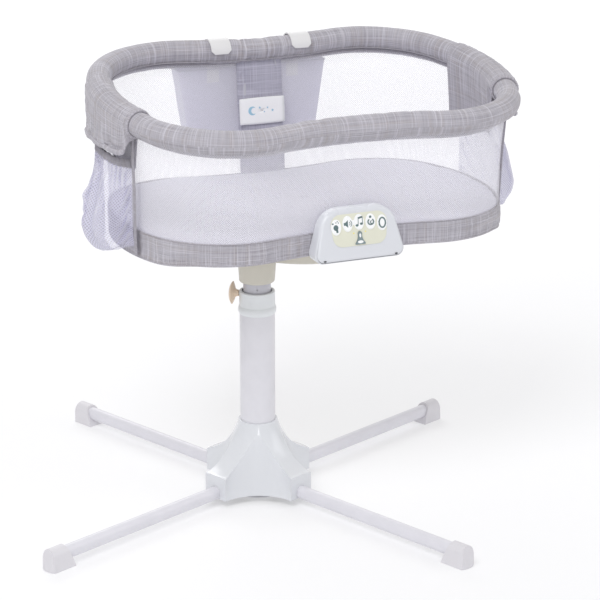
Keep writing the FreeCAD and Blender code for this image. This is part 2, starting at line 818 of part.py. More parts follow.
def uprights(grow):
    """The post's two leaning steel bars, or the room for them when grown."""
    low_y, low_z, top_z = post_line(band_bottom + tray_thickness)
    way = Vector(0, post_line(top_z)[0] - low_y, top_z - low_z)
    bars = [Part.makeCylinder(post_tube_radius + grow, way.Length, Vector(x, low_y, low_z), way)
            for x in (-post_half_spacing, post_half_spacing)]
    return bars[0].fuse(bars[1])


def rear_post():
    """Two steel uprights joined by a cross tube above the mattress."""
    cross_y, low_z, top_z = post_line(band_top + post_cross_height)
    cross = Part.makeCylinder(post_cross_radius, 2 * post_half_spacing,
                              Vector(-post_half_spacing, cross_y, band_top + post_cross_height), ALONG)
    return uprights(0).fuse(cross)


def make_post_cover():
    """Flat padded sleeve over the uprights, from the mattress up to the rail."""
    low_z = band_top + mattress_gap
    high_z = rail_height + rail_pad_radius
    low_y = post_line(low_z)[0]
    high_y = post_line(high_z)[0]
    half = post_cover_thickness / 2
    side = -post_cover_half_width
    corners = [Vector(side, low_y - half, low_z), Vector(side, low_y + half, low_z),
               Vector(side, high_y + half, high_z), Vector(side, high_y - half, high_z)]
    sleeve = prism(closed(corners), Vector(2 * post_cover_half_width, 0, 0))
    pad = rail_bar(rear_half, rear_pad_end_y, rail_pad_radius + fabric_gap)
    sleeve = sleeve.cut(pad).cut(rear_post())
    skin = wall_thickness + fabric_gap
    inside = Part.makeLoft([outline_wire(wall_outset_low - skin, band_top),
                            outline_wire(wall_outset_high - skin, rail_height)], True, True)
    basket_nodes["post_cover"] = one_solid(sleeve.common(inside))


def make_walls():
    """Mesh walls between the band and the rail, cut where the front half has to fold."""
    low = band_top + mattress_gap
    ring = leaning_ring(wall_outset_low, wall_outset_high, wall_thickness, low, rail_height)
    ring = ring.common(below_plane(rail_tilt, 0, rail_height, rail_pad_radius + wall_rail_gap))
    ends_room = on_rail_plane(pipe(cuff_arcs(front_pad_end_y, cuff_rear_y), cuff_radius + wall_rail_gap))
    ring = ring.cut(ends_room).cut(mirrored(ends_room)).cut(uprights(post_notch_gap))
    size = 2 * mattress_half_length
    depth = 2 * lobe_side_half_width
    rear = block(-size, size, end_wall_rear_y, depth, 0, 2 * rail_height)
    ends = block(-size, size, end_wall_front_y, end_wall_rear_y, 0, 2 * rail_height)
    front = block(-size, size, -depth, end_wall_front_y, 0, 2 * rail_height)
    hinge = hinge_point()
    lowered = below_plane(rail_tilt + front_drop, hinge.y, hinge.z, rail_pad_radius + fold_gap)
    basket_nodes["mesh_wall_rear"] = one_solid(ring.common(rear))
    basket_nodes["mesh_wall_ends"] = ring.common(ends)
    front_ring = ring.common(front)
    basket_nodes["mesh_wall_front_lower"] = one_solid(front_ring.common(lowered))
    basket_nodes["mesh_wall_front_upper"] = one_solid(front_ring.cut(lowered))


def hanging(offset, thickness, low, rear_y, headroom):
    """Upright sheet that follows the right end of the outline and stops under the sloping rail."""
    high = 2 * rail_height
    sheet = outline_solid(offset, low, high).cut(outline_solid(offset - thickness, low, high))
    sheet = sheet.common(block(0, 2 * mattress_half_length, flap_front_y, rear_y, low, high))
    return sheet.common(below_plane(rail_tilt, 0, rail_height, headroom))


def make_end_covers():
    """Fabric sleeve over each end of the rear rail, with a flap hanging outside and a lining inside."""
    flap = hanging(flap_outset + flap_thickness, flap_thickness, flap_bottom, flap_rear_y, 0)
    lining = hanging(0, lining_thickness, lining_bottom, end_wall_rear_y, lining_headroom)
    room = rail_bar(rear_half, rear_pad_end_y, rail_pad_radius).fuse(cuff_space())
    cover = cuff(rear_pad_end_y, cuff_rear_y, 0).fuse(flap.cut(room)).fuse(lining.cut(room))
    cover = one_solid(cover)
    basket_nodes["end_cover_right"] = cover
    basket_nodes["end_cover_left"] = mirrored(cover)
    mouth = cuff(front_pad_end_y + cuff_mouth_inset, rear_pad_end_y, cuff_clearance)
    basket_nodes["hinge_cuffs"] = Part.makeCompound([mouth, mirrored(mouth)])


def cuff_arcs(y_from, y_to):
    s = outline_shape(rail_outset)
    return [(s["end_x"], 0, s["end_r"], end_arc_angle(y_from), end_arc_angle(y_to))]


def cuff(y_from, y_to, clearance):
    """Sleeve round the rail between two places on the right end."""
    arcs = cuff_arcs(y_from, y_to)
    return on_rail_plane(pipe(arcs, cuff_radius).cut(pipe(arcs, rail_pad_radius + clearance)))


def cuff_space():
    """Room kept for the hinge and the cuff's mouth in front of the rear rail's end."""
    return on_rail_plane(pipe(cuff_arcs(front_pad_end_y, rear_pad_end_y), cuff_radius + fabric_gap))


def pocket_form(shrink, low, high):
    """Crescent in plan between the end wall and a bowed front, wider low down."""
    s = outline_shape(wall_outset_high + pocket_wall_gap)
    span = pocket_half_span - shrink
    end_x = s["end_x"] + math.sqrt(s["end_r"] ** 2 - span ** 2) + shrink
    inner_x = s["end_x"] + s["end_r"] + shrink
    wires = []
    for z, bulge in ((low, pocket_bulge_low), (high, pocket_bulge_high)):
        outer_x = mattress_half_length + bulge - shrink
        corner_x = end_x + pocket_side_depth
        first = Vector(end_x, -span, z)
        second = Vector(corner_x, -span, z)
        third = Vector(corner_x, span, z)
        fourth = Vector(end_x, span, z)
        wires.append(Part.Wire([line(first, second), arc(second, Vector(outer_x, 0, z), third),
                                line(third, fourth), arc(fourth, Vector(inner_x, 0, z), first)]))
    return Part.makeLoft(wires, True, True)


def make_pockets():
    hollow_low = pocket_bottom + pocket_sheet
    bag = pocket_form(0, pocket_bottom, pocket_top).cut(pocket_form(pocket_sheet, hollow_low, pocket_top))
    basket_nodes["pocket_right"] = bag
    basket_nodes["pocket_left"] = mirrored(bag)


def caddy_front_y():
    hook_y = rear_rail_place(hook_spacing / 2)[0]
    return hook_y + rail_pad_radius + hook_gap + hook_thickness + caddy_front_gap


def caddy_form(shrink, front, back, low):
    """Upright box with its two outer corners rounded."""
    half = caddy_half_width - shrink
    corners = [Vector(-half, front, low), Vector(half, front, low), Vector(half, back, low),
               Vector(-half, back, low)]
    radii = [caddy_front_corner, caddy_front_corner, caddy_corner - shrink, caddy_corner - shrink]
    plan = rounded_polygon(corners, radii)
    return Part.Face(plan).extrude(Vector(0, 0, caddy_top - low))


def make_caddy():
    front = caddy_front_y()
    back = front + caddy_depth
    outer = caddy_form(0, front, back, caddy_bottom)
    inner = caddy_form(caddy_sheet, front + caddy_sheet, back - caddy_sheet, caddy_bottom + caddy_sheet)
    basket_nodes["caddy"] = outer.cut(inner)
    hooks = [hook(side * hook_spacing / 2) for side in (-1, 1)]
    basket_nodes["caddy_hooks"] = Part.makeCompound(hooks)


def hook(x):
    """Strap over the rear rail: a short lip inside, a bow over the pad and a tab down to the caddy."""
    y, z = rear_rail_place(x)
    inner = rail_pad_radius + hook_gap
    outer = inner + hook_thickness
    side = x - hook_width / 2
    bow = Part.makeCylinder(outer, hook_width, Vector(side, y, z), ALONG).cut(
        Part.makeCylinder(inner, hook_width, Vector(side, y, z), ALONG))
    bow = bow.common(block(side, side + hook_width, y - outer, y + outer, z - hook_lip_drop, z + outer))
    low = z - hook_lip_drop
    for edge, way in ((side, 1), (side + hook_width, -1)):
        corner = [Vector(edge, y - outer, low), Vector(edge + way * hook_lip_chamfer, y - outer, low),
                  Vector(edge, y - outer, low + hook_lip_chamfer)]
        bow = bow.cut(prism(closed(corner), Vector(0, outer - inner + hook_thickness, 0)))
    back = block(side, side + hook_width, y + inner, y + outer, z - hook_back_drop, z)
    tab = block(x - hook_tab_width / 2, x + hook_tab_width / 2, y + inner, y + outer, hook_tab_bottom, z)
    rail = rail_bar(rear_half, rear_pad_end_y, rail_pad_radius + fabric_gap)
    return one_solid(bow.fuse(back).fuse(tab).cut(rail))


def rear_rail_place(x):
    """Height and depth of the rear rail's centre at a place along its waist."""
    s = outline_shape(rail_outset)
    flat = s["waist_y"] - math.sqrt(s["waist_r"] ** 2 - x ** 2)
    angle = math.radians(rail_tilt)
    return flat * math.cos(angle), rail_height + flat * math.sin(angle)


# --- control pod ---
def pod_back_y():
    s = outline_shape(band_outset)
    corner = s["waist_y"] - math.sqrt(s["waist_r"] ** 2 - pod_half_width_low ** 2)
    return -(corner + pod_back_gap - band_outset)


def pod_outline(shrink, y):
    """Rounded trapezium seen from the front."""
    low = pod_bottom + shrink
    high = pod_top - shrink
    wide = pod_half_width_low - shrink
    narrow = pod_half_width_high - shrink
    corners = [Vector(-wide, y, low), Vector(wide, y, low), Vector(narrow, y, high),
               Vector(-narrow, y, high)]
    low_radius = pod_corner_low - shrink / 2
    high_radius = pod_corner_high - shrink
    return rounded_polygon(corners, [low_radius, low_radius, high_radius, high_radius])


def rounded_polygon(corners, radii):
    """Closed wire through corners, each rounded by its own radius."""
    count = len(corners)
    arcs = []
    for index, corner in enumerate(corners):
        before = (corners[index - 1] - corner).normalize()
        after = (corners[(index + 1) % count] - corner).normalize()
        half_angle = before.getAngle(after) / 2
        setback = radii[index] / math.tan(half_angle)
        bisector = (before + after).normalize()
        centre = corner + bisector * (radii[index] / math.sin(half_angle))
        arcs.append((corner + before * setback, centre - bisector * radii[index], corner + after * setback))
    edges = []
    for index, (start, middle, end) in enumerate(arcs):
        edges.append(arc(start, middle, end))
        edges.append(line(end, arcs[(index + 1) % count][0]))
    return Part.Wire(edges)


def pod_solid(shrink, back_y):
    """The pod's form: its outline carried forward and cut by the leaning face."""
    body = Part.Face(pod_outline(shrink, back_y)).extrude(Vector(0, -2 * pod_depth_low, 0))
    size = 2 * pod_half_width_low
    beyond = block(-size, size, -size, size, -shrink, size)
    return body.cut(on_face(beyond))


def face_origin():
    depth = pod_depth_low - (face_centre_height - pod_bottom) * math.tan(math.radians(pod_face_tilt))
    return Vector(0, pod_back_y() - depth, face_centre_height)


def on_face(shape):
    """Place something drawn in XY, with +Z outwards, on the pod's leaning face."""
    return moved(rotated(shape, ALONG, 90 - pod_face_tilt), face_origin())


def oval_prism(x, y, grow, low, high):
    ellipse = Part.Ellipse(Vector(x, y, low), button_half_height + grow, button_half_width + grow)
    edge = ellipse.toShape()
    edge.rotate(Vector(x, y, low), UP, 90)
    return Part.Face(Part.Wire(edge)).extrude(Vector(0, 0, high - low))


def bell_prism(grow, low, high):
    """Bell outline: flat foot, hollow flanks and a round crown."""
    y = bell_centre_height
    foot = y - bell_half_height - grow
    base = bell_half_base + grow
    neck = bell_half_neck + grow
    shoulder = y + bell_half_height - bell_half_neck
    lip = bell_half_height / 4
    right = [Vector(base, foot, low), Vector(base, foot + lip, low),
             Vector(neck + bell_half_neck / 3, y - lip, low), Vector(neck, shoulder, low)]
    left = [Vector(-p.x, p.y, low) for p in right]
    crown = Vector(0, y + bell_half_height + grow, low)
    edges = [line(left[0], right[0]), line(right[0], right[1]), arc(right[1], right[2], right[3]),
             arc(right[3], crown, left[3]), arc(left[3], left[2], left[1]), line(left[1], left[0])]
    return Part.Face(Part.Wire(edges)).extrude(Vector(0, 0, high - low))


def button_place(index):
    x = (index - (button_count - 1) / 2) * button_pitch
    drop = button_arc_radius - math.sqrt(button_arc_radius ** 2 - x ** 2)
    return x, button_centre_height - drop


def button(outline):
    """A cap that stands proud of the face and a flange under it that keeps it in the shell."""
    under = -pod_wall - button_rest_gap
    flange = outline(button_flange, under - button_flange_thickness, under)
    return on_face(outline(0, under, button_proud).fuse(flange))


def pod_shell(back):
    """The pod's front shell with its front edge rounded all the way round."""
    shell = pod_solid(0, back)
    front_edges = []
    for edge in shell.Edges:
        box = edge.BoundBox
        near_face = edge.CenterOfMass.y < back - pod_depth_low / 3
        if near_face and abs(box.YMax - back) > 1 and box.YLength < pod_depth_low / 2:
            front_edges.append(edge)
    return shell.makeFillet(pod_edge_radius, front_edges).cut(pod_solid(pod_wall, back + 1))


def make_pod():
    back = pod_back_y()
    hole_low = -2 * pod_wall
    hole_high = 2 * overlay_thickness
    outlines = [partial(oval_prism, *button_place(index)) for index in range(button_count)]
    for index, outline in enumerate(outlines):
        basket_nodes["button_%d" % (index + 1)] = button(outline)
    basket_nodes["light_button"] = button(bell_prism)
    holes = Part.makeCompound([on_face(outline(button_gap, hole_low, hole_high))
                               for outline in outlines + [bell_prism]])
    half = overlay_half_width
    low_half = overlay_half_width_low
    face_corners = [Vector(-low_half, overlay_low, 0), Vector(low_half, overlay_low, 0),
                    Vector(half, overlay_high, 0), Vector(-half, overlay_high, 0)]
    overlay = Part.Face(rounded_polygon(face_corners, [overlay_corner] * 4))
    overlay = overlay.extrude(Vector(0, 0, overlay_thickness))
    basket_nodes["pod_overlay"] = on_face(overlay).cut(holes)
    door_y = back - pod_back_thickness - door_inset
    basket_nodes["battery_door"] = block(-door_half_width, door_half_width, door_y - door_depth, door_y,
                                         pod_bottom, pod_bottom + pod_wall)
    opening = block(-door_half_width - door_gap, door_half_width + door_gap, door_y - door_depth - door_gap,
                    door_y + door_gap, pod_bottom - pod_wall, pod_bottom + 2 * pod_wall)
    basket_nodes["pod_front"] = one_solid(pod_shell(back).cut(holes).cut(opening))
    plate = Part.Face(pod_outline(pod_wall + pod_back_fit, back))
    basket_nodes["pod_back"] = plate.extrude(Vector(0, -pod_back_thickness, 0))
    board_top = -pod_wall - button_rest_gap - button_flange_thickness - button_travel - board_gap
    board_bottom = board_top - board_thickness
    board = block(-board_half_width, board_half_width, board_lift - board_half_height,
                  board_lift + board_half_height, board_bottom, board_top)
    basket_nodes["circuit_board"] = on_face(board)
    speaker_place = Vector(0, speaker_lift, board_bottom - speaker_height)
    basket_nodes["speaker"] = on_face(Part.makeCylinder(speaker_radius, speaker_height, speaker_place))
    cells = []
    for place in (-1, 0, 1):
        x = place * (cell_length + cell_gap) - cell_length / 2
        end = Vector(x, door_y - door_depth / 2, pod_bottom + pod_wall + cell_radius + cell_gap)
        cells.append(Part.makeCylinder(cell_radius, cell_length, end, ALONG))
    basket_nodes["battery_cells"] = Part.makeCompound(cells)


make_legs()
make_hub()
make_pole()
make_knob()
make_arm()
make_floor()
make_rails()
make_post_cover()
make_walls()
make_end_covers()
make_pockets()
make_caddy()
make_pod()

for name, shape in basket_nodes.items():
    nodes[name] = moved(shape, Vector(basket_x, basket_y, 0))

os.makedirs("parts", exist_ok=True)
for name, shape in nodes.items():
    shape.exportStep("parts/" + name + ".step")
    print(name, len(shape.Solids), round(shape.Volume / 1000, 1), "cm3", shape.isValid())
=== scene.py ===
import math
import bpy
import numpy as np
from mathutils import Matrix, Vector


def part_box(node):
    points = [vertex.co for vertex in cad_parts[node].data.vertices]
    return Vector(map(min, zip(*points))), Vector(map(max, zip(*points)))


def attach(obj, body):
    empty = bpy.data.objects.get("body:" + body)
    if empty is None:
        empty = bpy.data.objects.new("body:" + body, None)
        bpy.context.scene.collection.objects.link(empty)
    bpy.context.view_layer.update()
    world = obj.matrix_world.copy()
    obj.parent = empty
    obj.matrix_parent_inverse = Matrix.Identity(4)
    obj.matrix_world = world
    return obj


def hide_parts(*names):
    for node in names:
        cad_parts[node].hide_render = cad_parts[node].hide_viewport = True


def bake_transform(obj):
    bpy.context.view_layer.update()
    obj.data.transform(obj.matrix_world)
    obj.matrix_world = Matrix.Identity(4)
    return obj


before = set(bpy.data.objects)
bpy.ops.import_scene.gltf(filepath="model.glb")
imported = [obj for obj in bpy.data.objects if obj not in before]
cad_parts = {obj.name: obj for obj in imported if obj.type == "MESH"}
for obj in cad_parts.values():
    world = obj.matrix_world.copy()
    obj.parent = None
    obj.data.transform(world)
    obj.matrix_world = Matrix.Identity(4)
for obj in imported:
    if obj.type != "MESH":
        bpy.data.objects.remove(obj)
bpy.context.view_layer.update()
print("frame loaded,", len(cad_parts), "parts")

# all sizes below are millimetres about the basket's own centre unless a note says otherwise
basket = {"halfLength": 422, "lobeHalfWidth": 274, "waistHalfWidth": 250, "lobeX": 224.3, "lobeRadius": 179,
          "mattressTop": 618, "bandBottom": 572.4}
rail = {"height": 868, "tilt": math.radians(7.2), "outset": 18}
trayLow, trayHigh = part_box("floor_tray")
basketCentre = np.array([(trayLow.x + trayHigh.x) / 2, (trayLow.y + trayHigh.y) / 2, 0]) * 1000


def hourglassArcs():
    # eight tangent arcs, anticlockwise from the right end:
    # centre, radius, start angle, turn, side of the centre
    reach, waist, corner = basket["halfLength"], basket["waistHalfWidth"], basket["lobeRadius"]
    x, y = basket["lobeX"], basket["lobeHalfWidth"] - basket["lobeRadius"]
    end = ((x - reach) ** 2 + y ** 2 - corner ** 2) / (2 * (reach - x - corner))
    hollow = (x ** 2 + (y - waist) ** 2 - corner ** 2) / (2 * (y + corner - waist))
    a = math.atan2(y, x - (reach - end))
    w = math.atan2(x, waist + hollow - y)
    half = math.pi / 2
    return np.array([(reach - end, 0, end, -a, 2 * a, 1),
                     (x, y, corner, a, half + w - a, 1),
                     (0, waist + hollow, hollow, w - half, -2 * w, -1),
                     (-x, y, corner, half - w, half + w - a, 1),
                     (end - reach, 0, end, 2 * half - a, 2 * a, 1),
                     (-x, -y, corner, 2 * half + a, half + w - a, 1),
                     (0, -waist - hollow, hollow, half + w, -2 * w, -1),
                     (x, -y, corner, 3 * half - w, half + w - a, 1)])


arcs = hourglassArcs()
arcLengths = arcs[:, 2] * abs(arcs[:, 4])
arcMarks = np.concatenate([[0], np.cumsum(arcLengths)])
girth = arcMarks[-1]


def outlineAt(share):
    # point and outward normal at a share of the way round, starting at the middle of the right end
    distance = (np.asarray(share, float) % 1 * girth + arcLengths[0] / 2) % girth
    index = np.clip(np.searchsorted(arcMarks, distance, side="right") - 1, 0, 7)
    turn = arcs[index, 3] + arcs[index, 4] * (distance - arcMarks[index]) / arcLengths[index]
    way = np.stack([np.cos(turn), np.sin(turn)], -1)
    return arcs[index, :2] + arcs[index, 2:3] * way, way * arcs[index, 5:6]


def wallAt(share, outset, height):
    # the outline pushed out along its normal, at a height
    point, normal = outlineAt(share)
    flat = point + normal * np.asarray(outset, float)[..., None]
    return np.concatenate([flat, np.broadcast_to(height, flat.shape[:-1])[..., None]], -1)


def railAt(share, outward, up):
    # a point beside the rail: outwards in the rail's sloping plane, then up square to that plane
    point, normal = outlineAt(share)
    flat = point + normal * (rail["outset"] + np.asarray(outward, float))[..., None]
    y = flat[..., 1] * math.cos(rail["tilt"]) - up * math.sin(rail["tilt"])
    z = rail["height"] + flat[..., 1] * math.sin(rail["tilt"]) + up * math.cos(rail["tilt"])
    return np.stack([flat[..., 0], y, z], -1)


def endShare(depth):
    # share of the way round at which the rail's right end has this depth
    angle = math.asin(depth / math.cos(rail["tilt"]) / (arcs[0, 2] + rail["outset"]))
    return angle * arcs[0, 2] / girth


def smooth(value, low, high):
    # eases from 0 at low to 1 at high
    t = np.clip((np.asarray(value, float) - low) / (high - low), 0, 1)
    return t * t * (3 - 2 * t)


def ripple(u, v, seed, scales=((1.0, 1.0), (2.3, 0.6), (4.1, 0.35))):
    # a few sine waves with seeded directions and phases, added up; u and v are in wavelengths
    rng = np.random.default_rng(seed)
    total = 0
    for pitch, weight in scales:
        a, b, c, d = rng.uniform(0, 2 * math.pi, 4)
        total = total + weight * np.sin(pitch * u * 2 * math.pi
                                        + 0.9 * np.sin(v * 2 * math.pi * pitch * 0.7 + a) + b)
        total = total + 0.5 * weight * np.sin(pitch * v * 2 * math.pi * 1.1 + 0.8 * np.sin(u * 5.1 + c) + d)
    return total / 2


# ---- meshes ----
def surface(name, grid, closedU=False, closedV=False, caps=False, flip=False, place=True):
    # quads over a grid of points; the cloth map runs along the grid's own lengths, in metres
    grid = np.asarray(grid, float)
    if place:
        grid = grid + basketCentre
    grid = grid / 1000
    nu, nv = grid.shape[:2]
    ring = np.concatenate([grid, grid[:1]], 0) if closedU else grid
    ring = np.concatenate([ring, ring[:, :1]], 1) if closedV else ring
    stepU = np.linalg.norm(np.diff(ring, axis=0), axis=2).mean(1)
    stepV = np.linalg.norm(np.diff(ring, axis=1), axis=2).mean(0)
    alongU = np.concatenate([[0], np.cumsum(stepU)])
    alongV = np.concatenate([[0], np.cumsum(stepV)])
    i, j = np.meshgrid(np.arange(len(stepU)), np.arange(len(stepV)), indexing="ij")
    i, j = i.ravel(), j.ravel()
    corners = [(i, j), (i + 1, j), (i + 1, j + 1), (i, j + 1)]
    if flip:
        corners = corners[::-1]
    faces = np.stack([(a % nu) * nv + b % nv for a, b in corners], 1)
    uv = np.stack([np.stack([alongU[a], alongV[b]], -1) for a, b in corners], 1).reshape(-1, 2)
    points = grid.reshape(-1, 3)
    mesh = bpy.data.meshes.new(name)
    faceList = faces.tolist()
    if caps:
        # a fan closes each end of a tube
        ends = np.stack([grid[0].mean(0), grid[-1].mean(0)])
        points = np.concatenate([points, ends])
        k = np.arange(nv)
        after = (k + 1) % nv
        first = np.stack([np.full(nv, nu * nv), after, k], 1)
        last = np.stack([np.full(nv, nu * nv + 1), (nu - 1) * nv + k, (nu - 1) * nv + after], 1)
        fans = np.concatenate([first, last])
        faceList += (fans[:, ::-1] if flip else fans).tolist()
        fanUv = points[fans[:, ::-1] if flip else fans][..., :2].reshape(-1, 2)
        uv = np.concatenate([uv, fanUv])
    mesh.from_pydata(points.tolist(), [], faceList)
    layer = mesh.uv_layers.new(name="cloth")
    layer.data.foreach_set("uv", uv.astype(np.float32).ravel())
    mesh.polygons.foreach_set("use_smooth", np.ones(len(mesh.polygons), bool))
    mesh.update()
    piece = bpy.data.objects.new(name, mesh)
    bpy.context.scene.collection.objects.link(piece)
    return piece


def tube(name, path, radius, sides=10, closed=False, place=True):
    # a round section carried along a path, each ring square to the path
    path = np.asarray(path, float)
    ahead = np.roll(path, -1, 0) - np.roll(path, 1, 0)
    if not closed:
        ahead[0], ahead[-1] = path[1] - path[0], path[-1] - path[-2]
    ahead /= np.linalg.norm(ahead, axis=1)[:, None]
    upward = np.array([0, 0, 1.0]) - ahead * ahead[:, 2:3]
    bent = np.linalg.norm(upward, axis=1) < 0.05
    upward[bent] = np.array([1.0, 0, 0])
    upward /= np.linalg.norm(upward, axis=1)[:, None]
    side = np.cross(ahead, upward)
    turn = np.linspace(0, 2 * math.pi, sides, endpoint=False)
    ringShape = np.cos(turn)[None, :, None] * side[:, None] + np.sin(turn)[None, :, None] * upward[:, None]
    spread = np.broadcast_to(radius, (len(path),))[:, None, None]
    return surface(name, path[:, None] + ringShape * spread, closedU=closed, closedV=True, caps=not closed,
                   place=place)


def thicken(piece, thickness, offset=-1):
    # cloth thickness
    wall = piece.modifiers.new("thickness", "SOLIDIFY")
    wall.thickness = thickness / 1000
    wall.offset = offset
    return piece


def soften(piece, levels=1):
    sub = piece.modifiers.new("soften", "SUBSURF")
    sub.levels = levels
    sub.render_levels = levels
    return piece


def bake(piece):
    # the modifiers become the mesh
    bpy.context.view_layer.update()
    graph = bpy.context.evaluated_depsgraph_get()
    made = bpy.data.meshes.new_from_object(piece.evaluated_get(graph), preserve_all_data_layers=True,
                                           depsgraph=graph)
    piece.modifiers.clear()
    piece.data = made
    return piece


waiting = []  # pieces whose cloth settles together


def drape(piece, cap, pinned, pressure=0.0, gravity=0.0, spare=0.0, bending=0.5, tension=15):
    # cloth on the piece: pinned is 1 where it is sewn down, spare is how much too big the cloth is
    waiting.append({"piece": piece, "cap": cap / 1000, "start": None})
    group = piece.vertex_groups.new(name="sewn")
    weights = np.asarray(pinned, float).ravel()
    weights = np.concatenate([weights, np.ones(len(piece.data.vertices) - len(weights))])
    for level in np.unique(np.round(weights, 1)):
        if level > 0:
            group.add(np.flatnonzero(np.round(weights, 1) == level).tolist(), float(level), "REPLACE")
    cloth = piece.modifiers.new("cloth", "CLOTH")
    cloth.settings.quality = 5
    cloth.settings.mass = 0.2
    cloth.settings.tension_stiffness = tension
    cloth.settings.compression_stiffness = tension
    cloth.settings.shear_stiffness = 5
    cloth.settings.bending_stiffness = bending
    cloth.settings.air_damping = 3
    cloth.settings.vertex_group_mass = "sewn"
    cloth.settings.shrink_min = -spare
    cloth.settings.effector_weights.gravity = gravity
    cloth.settings.use_pressure = pressure > 0
    cloth.settings.uniform_pressure_force = pressure
    cloth.collision_settings.use_collision = False


def settle(frames=20):
    # steps the cloth, limits how far each point went, and keeps the result
    if not waiting:
        for item in waiting:
            item["piece"].modifiers.remove(item["piece"].modifiers["cloth"])
        waiting.clear()
        return
    scene = bpy.context.scene
    for item in waiting:
        mesh = item["piece"].data
        item["start"] = np.empty(len(mesh.vertices) * 3)
        mesh.vertices.foreach_get("co", item["start"])
    for number in range(1, frames + 1):
        scene.frame_set(number)
    graph = bpy.context.evaluated_depsgraph_get()
    for item in waiting:
        piece = item["piece"]
        shown = piece.evaluated_get(graph).data
        end = np.empty(len(item["start"]))
        shown.vertices.foreach_get("co", end)
        item["end"] = end
    for item in waiting:
        piece = item["piece"]
        piece.modifiers.remove(piece.modifiers["cloth"])
        start = item["start"].reshape(-1, 3)
        moved = item["end"].reshape(-1, 3) - start
        far = np.linalg.norm(moved, axis=1)[:, None]
        moved *= np.minimum(1, item["cap"] / np.maximum(far, 1e-9))
        piece.data.vertices.foreach_set("co", (start + moved).ravel())
        piece.data.update()
        print("  settled", piece.name, "by up to", round(float(far.max()) * 1000, 1), "mm, mean",
              round(float(far.mean()) * 1000, 2))
    waiting.clear()
    scene.frame_set(1)


# ---- materials ----
def colour(hexValue, alpha=1.0):
    # sRGB hex to the linear values that the shader wants
    parts = np.array([int(hexValue[k:k + 2], 16) for k in (1, 3, 5)]) / 255
    linear = np.where(parts <= 0.04045, parts / 12.92, ((parts + 0.055) / 1.055) ** 2.4)
    return (*linear.tolist(), alpha)


def addNode(tree, kind, settings=None, links=None):
    # one node with its settings, by property or socket name, and the sockets that feed it
    node = tree.nodes.new(kind)
    for key, value in (settings or {}).items():
        if isinstance(key, str) and hasattr(node, key):
            setattr(node, key, value)
        else:
            node.inputs[key].default_value = value
    for key, source in (links or {}).items():
        tree.links.new(source, node.inputs[key])
    return node


def newMaterial(name, base, roughness, **sockets):
    # an empty material with its shader; the sockets are set straight on it
    material = bpy.data.materials.new(name)
    material.use_nodes = True
    material.diffuse_color = colour(base)
    tree = material.node_tree
    tree.nodes.clear()
    shader = addNode(tree, "ShaderNodeBsdfPrincipled", {"Base Color": colour(base), "Roughness": roughness})
    for key, value in sockets.items():
        shader.inputs[key.replace("_", " ")].default_value = value
    addNode(tree, "ShaderNodeOutputMaterial", links={"Surface": shader.outputs[0]})
    return material, tree, shader


def mixColours(tree, factor, first, second, blend="MIX"):
    # first and second are sockets or hex colours
    node = addNode(tree, "ShaderNodeMix", {"data_type": "RGBA", "blend_type": blend})
    for index, value in ((0, factor), (6, first), (7, second)):
        if isinstance(value, str):
            node.inputs[index].default_value = colour(value)
        elif isinstance(value, (int, float)):
            node.inputs[index].default_value = value
        else:
            tree.links.new(value, node.inputs[index])
    return node.outputs[2]


def streaks(tree, coordinates, along, across, rotation=0.0, detail=2.0):
    # noise stretched into threads: along and across are the thread's length and width in millimetres
    mapped = addNode(tree, "ShaderNodeMapping", {"Scale": (1000 / along, 1000 / across, 1000 / across),
                                                 "Rotation": (0, 0, rotation)}, {"Vector": coordinates})
    noise = addNode(tree, "ShaderNodeTexNoise", {"Scale": 1.0, "Detail": detail, "Roughness": 0.55},
                    {"Vector": mapped.outputs[0]})
    return noise.outputs["Fac"]


def stretchRange(tree, source, low, high, toLow=0.0, toHigh=1.0):
    node = addNode(tree, "ShaderNodeMapRange", {"From Min": low, "From Max": high, "To Min": toLow,
                                                "To Max": toHigh}, {"Value": source})
    return node.outputs[0]


def heatherCloth(name, ground, pale, dark, warm, contrast=1.0):
    # slub-yarn polyester: a plain weave of uneven heathered threads, so long thin pale and dark
    # lines cross each other like a faint plaid, and the surface is dull with a soft sheen
    material, tree, shader = newMaterial(name, ground, 0.88, Sheen_Weight=0.2, Sheen_Roughness=0.5)
    place = addNode(tree, "ShaderNodeUVMap", {"uv_map": "cloth"}).outputs[0]
    # the real threads are 0.4 mm apart, drawn 1.7 to 6 mm wide so that they show
    across = [(streaks(tree, place, 1.7, 150), 0.54, 0.68, pale, 0.62),
              (streaks(tree, place, 5.2, 230), 0.52, 0.68, pale, 0.5),
              (streaks(tree, place, 3.0, 190), 0.53, 0.7, dark, 0.42),
              (streaks(tree, place, 12.0, 260), 0.5, 0.7, warm, 0.6)]
    along = [(streaks(tree, place, 150, 1.7), 0.54, 0.68, pale, 0.6),
             (streaks(tree, place, 220, 3.6), 0.52, 0.68, dark, 0.62),
             (streaks(tree, place, 260, 9.0), 0.5, 0.7, warm, 0.55)]
    base = ground
    for thread, low, high, tint, weight in (across[3], along[2], across[2], along[1], across[1], along[0],
                                            across[0]):
        base = mixColours(tree, stretchRange(tree, thread, low, high, 0, weight * contrast), base, tint)
    tree.links.new(base, shader.inputs["Base Color"])
    height = addNode(tree, "ShaderNodeMath", {"operation": "ADD"}, {0: across[0][0], 1: along[0][0]})
    bump = addNode(tree, "ShaderNodeBump", {"Strength": 0.3, "Distance": 0.001},
                   {"Height": height.outputs[0]})
    tree.links.new(bump.outputs[0], shader.inputs["Normal"])
    return material


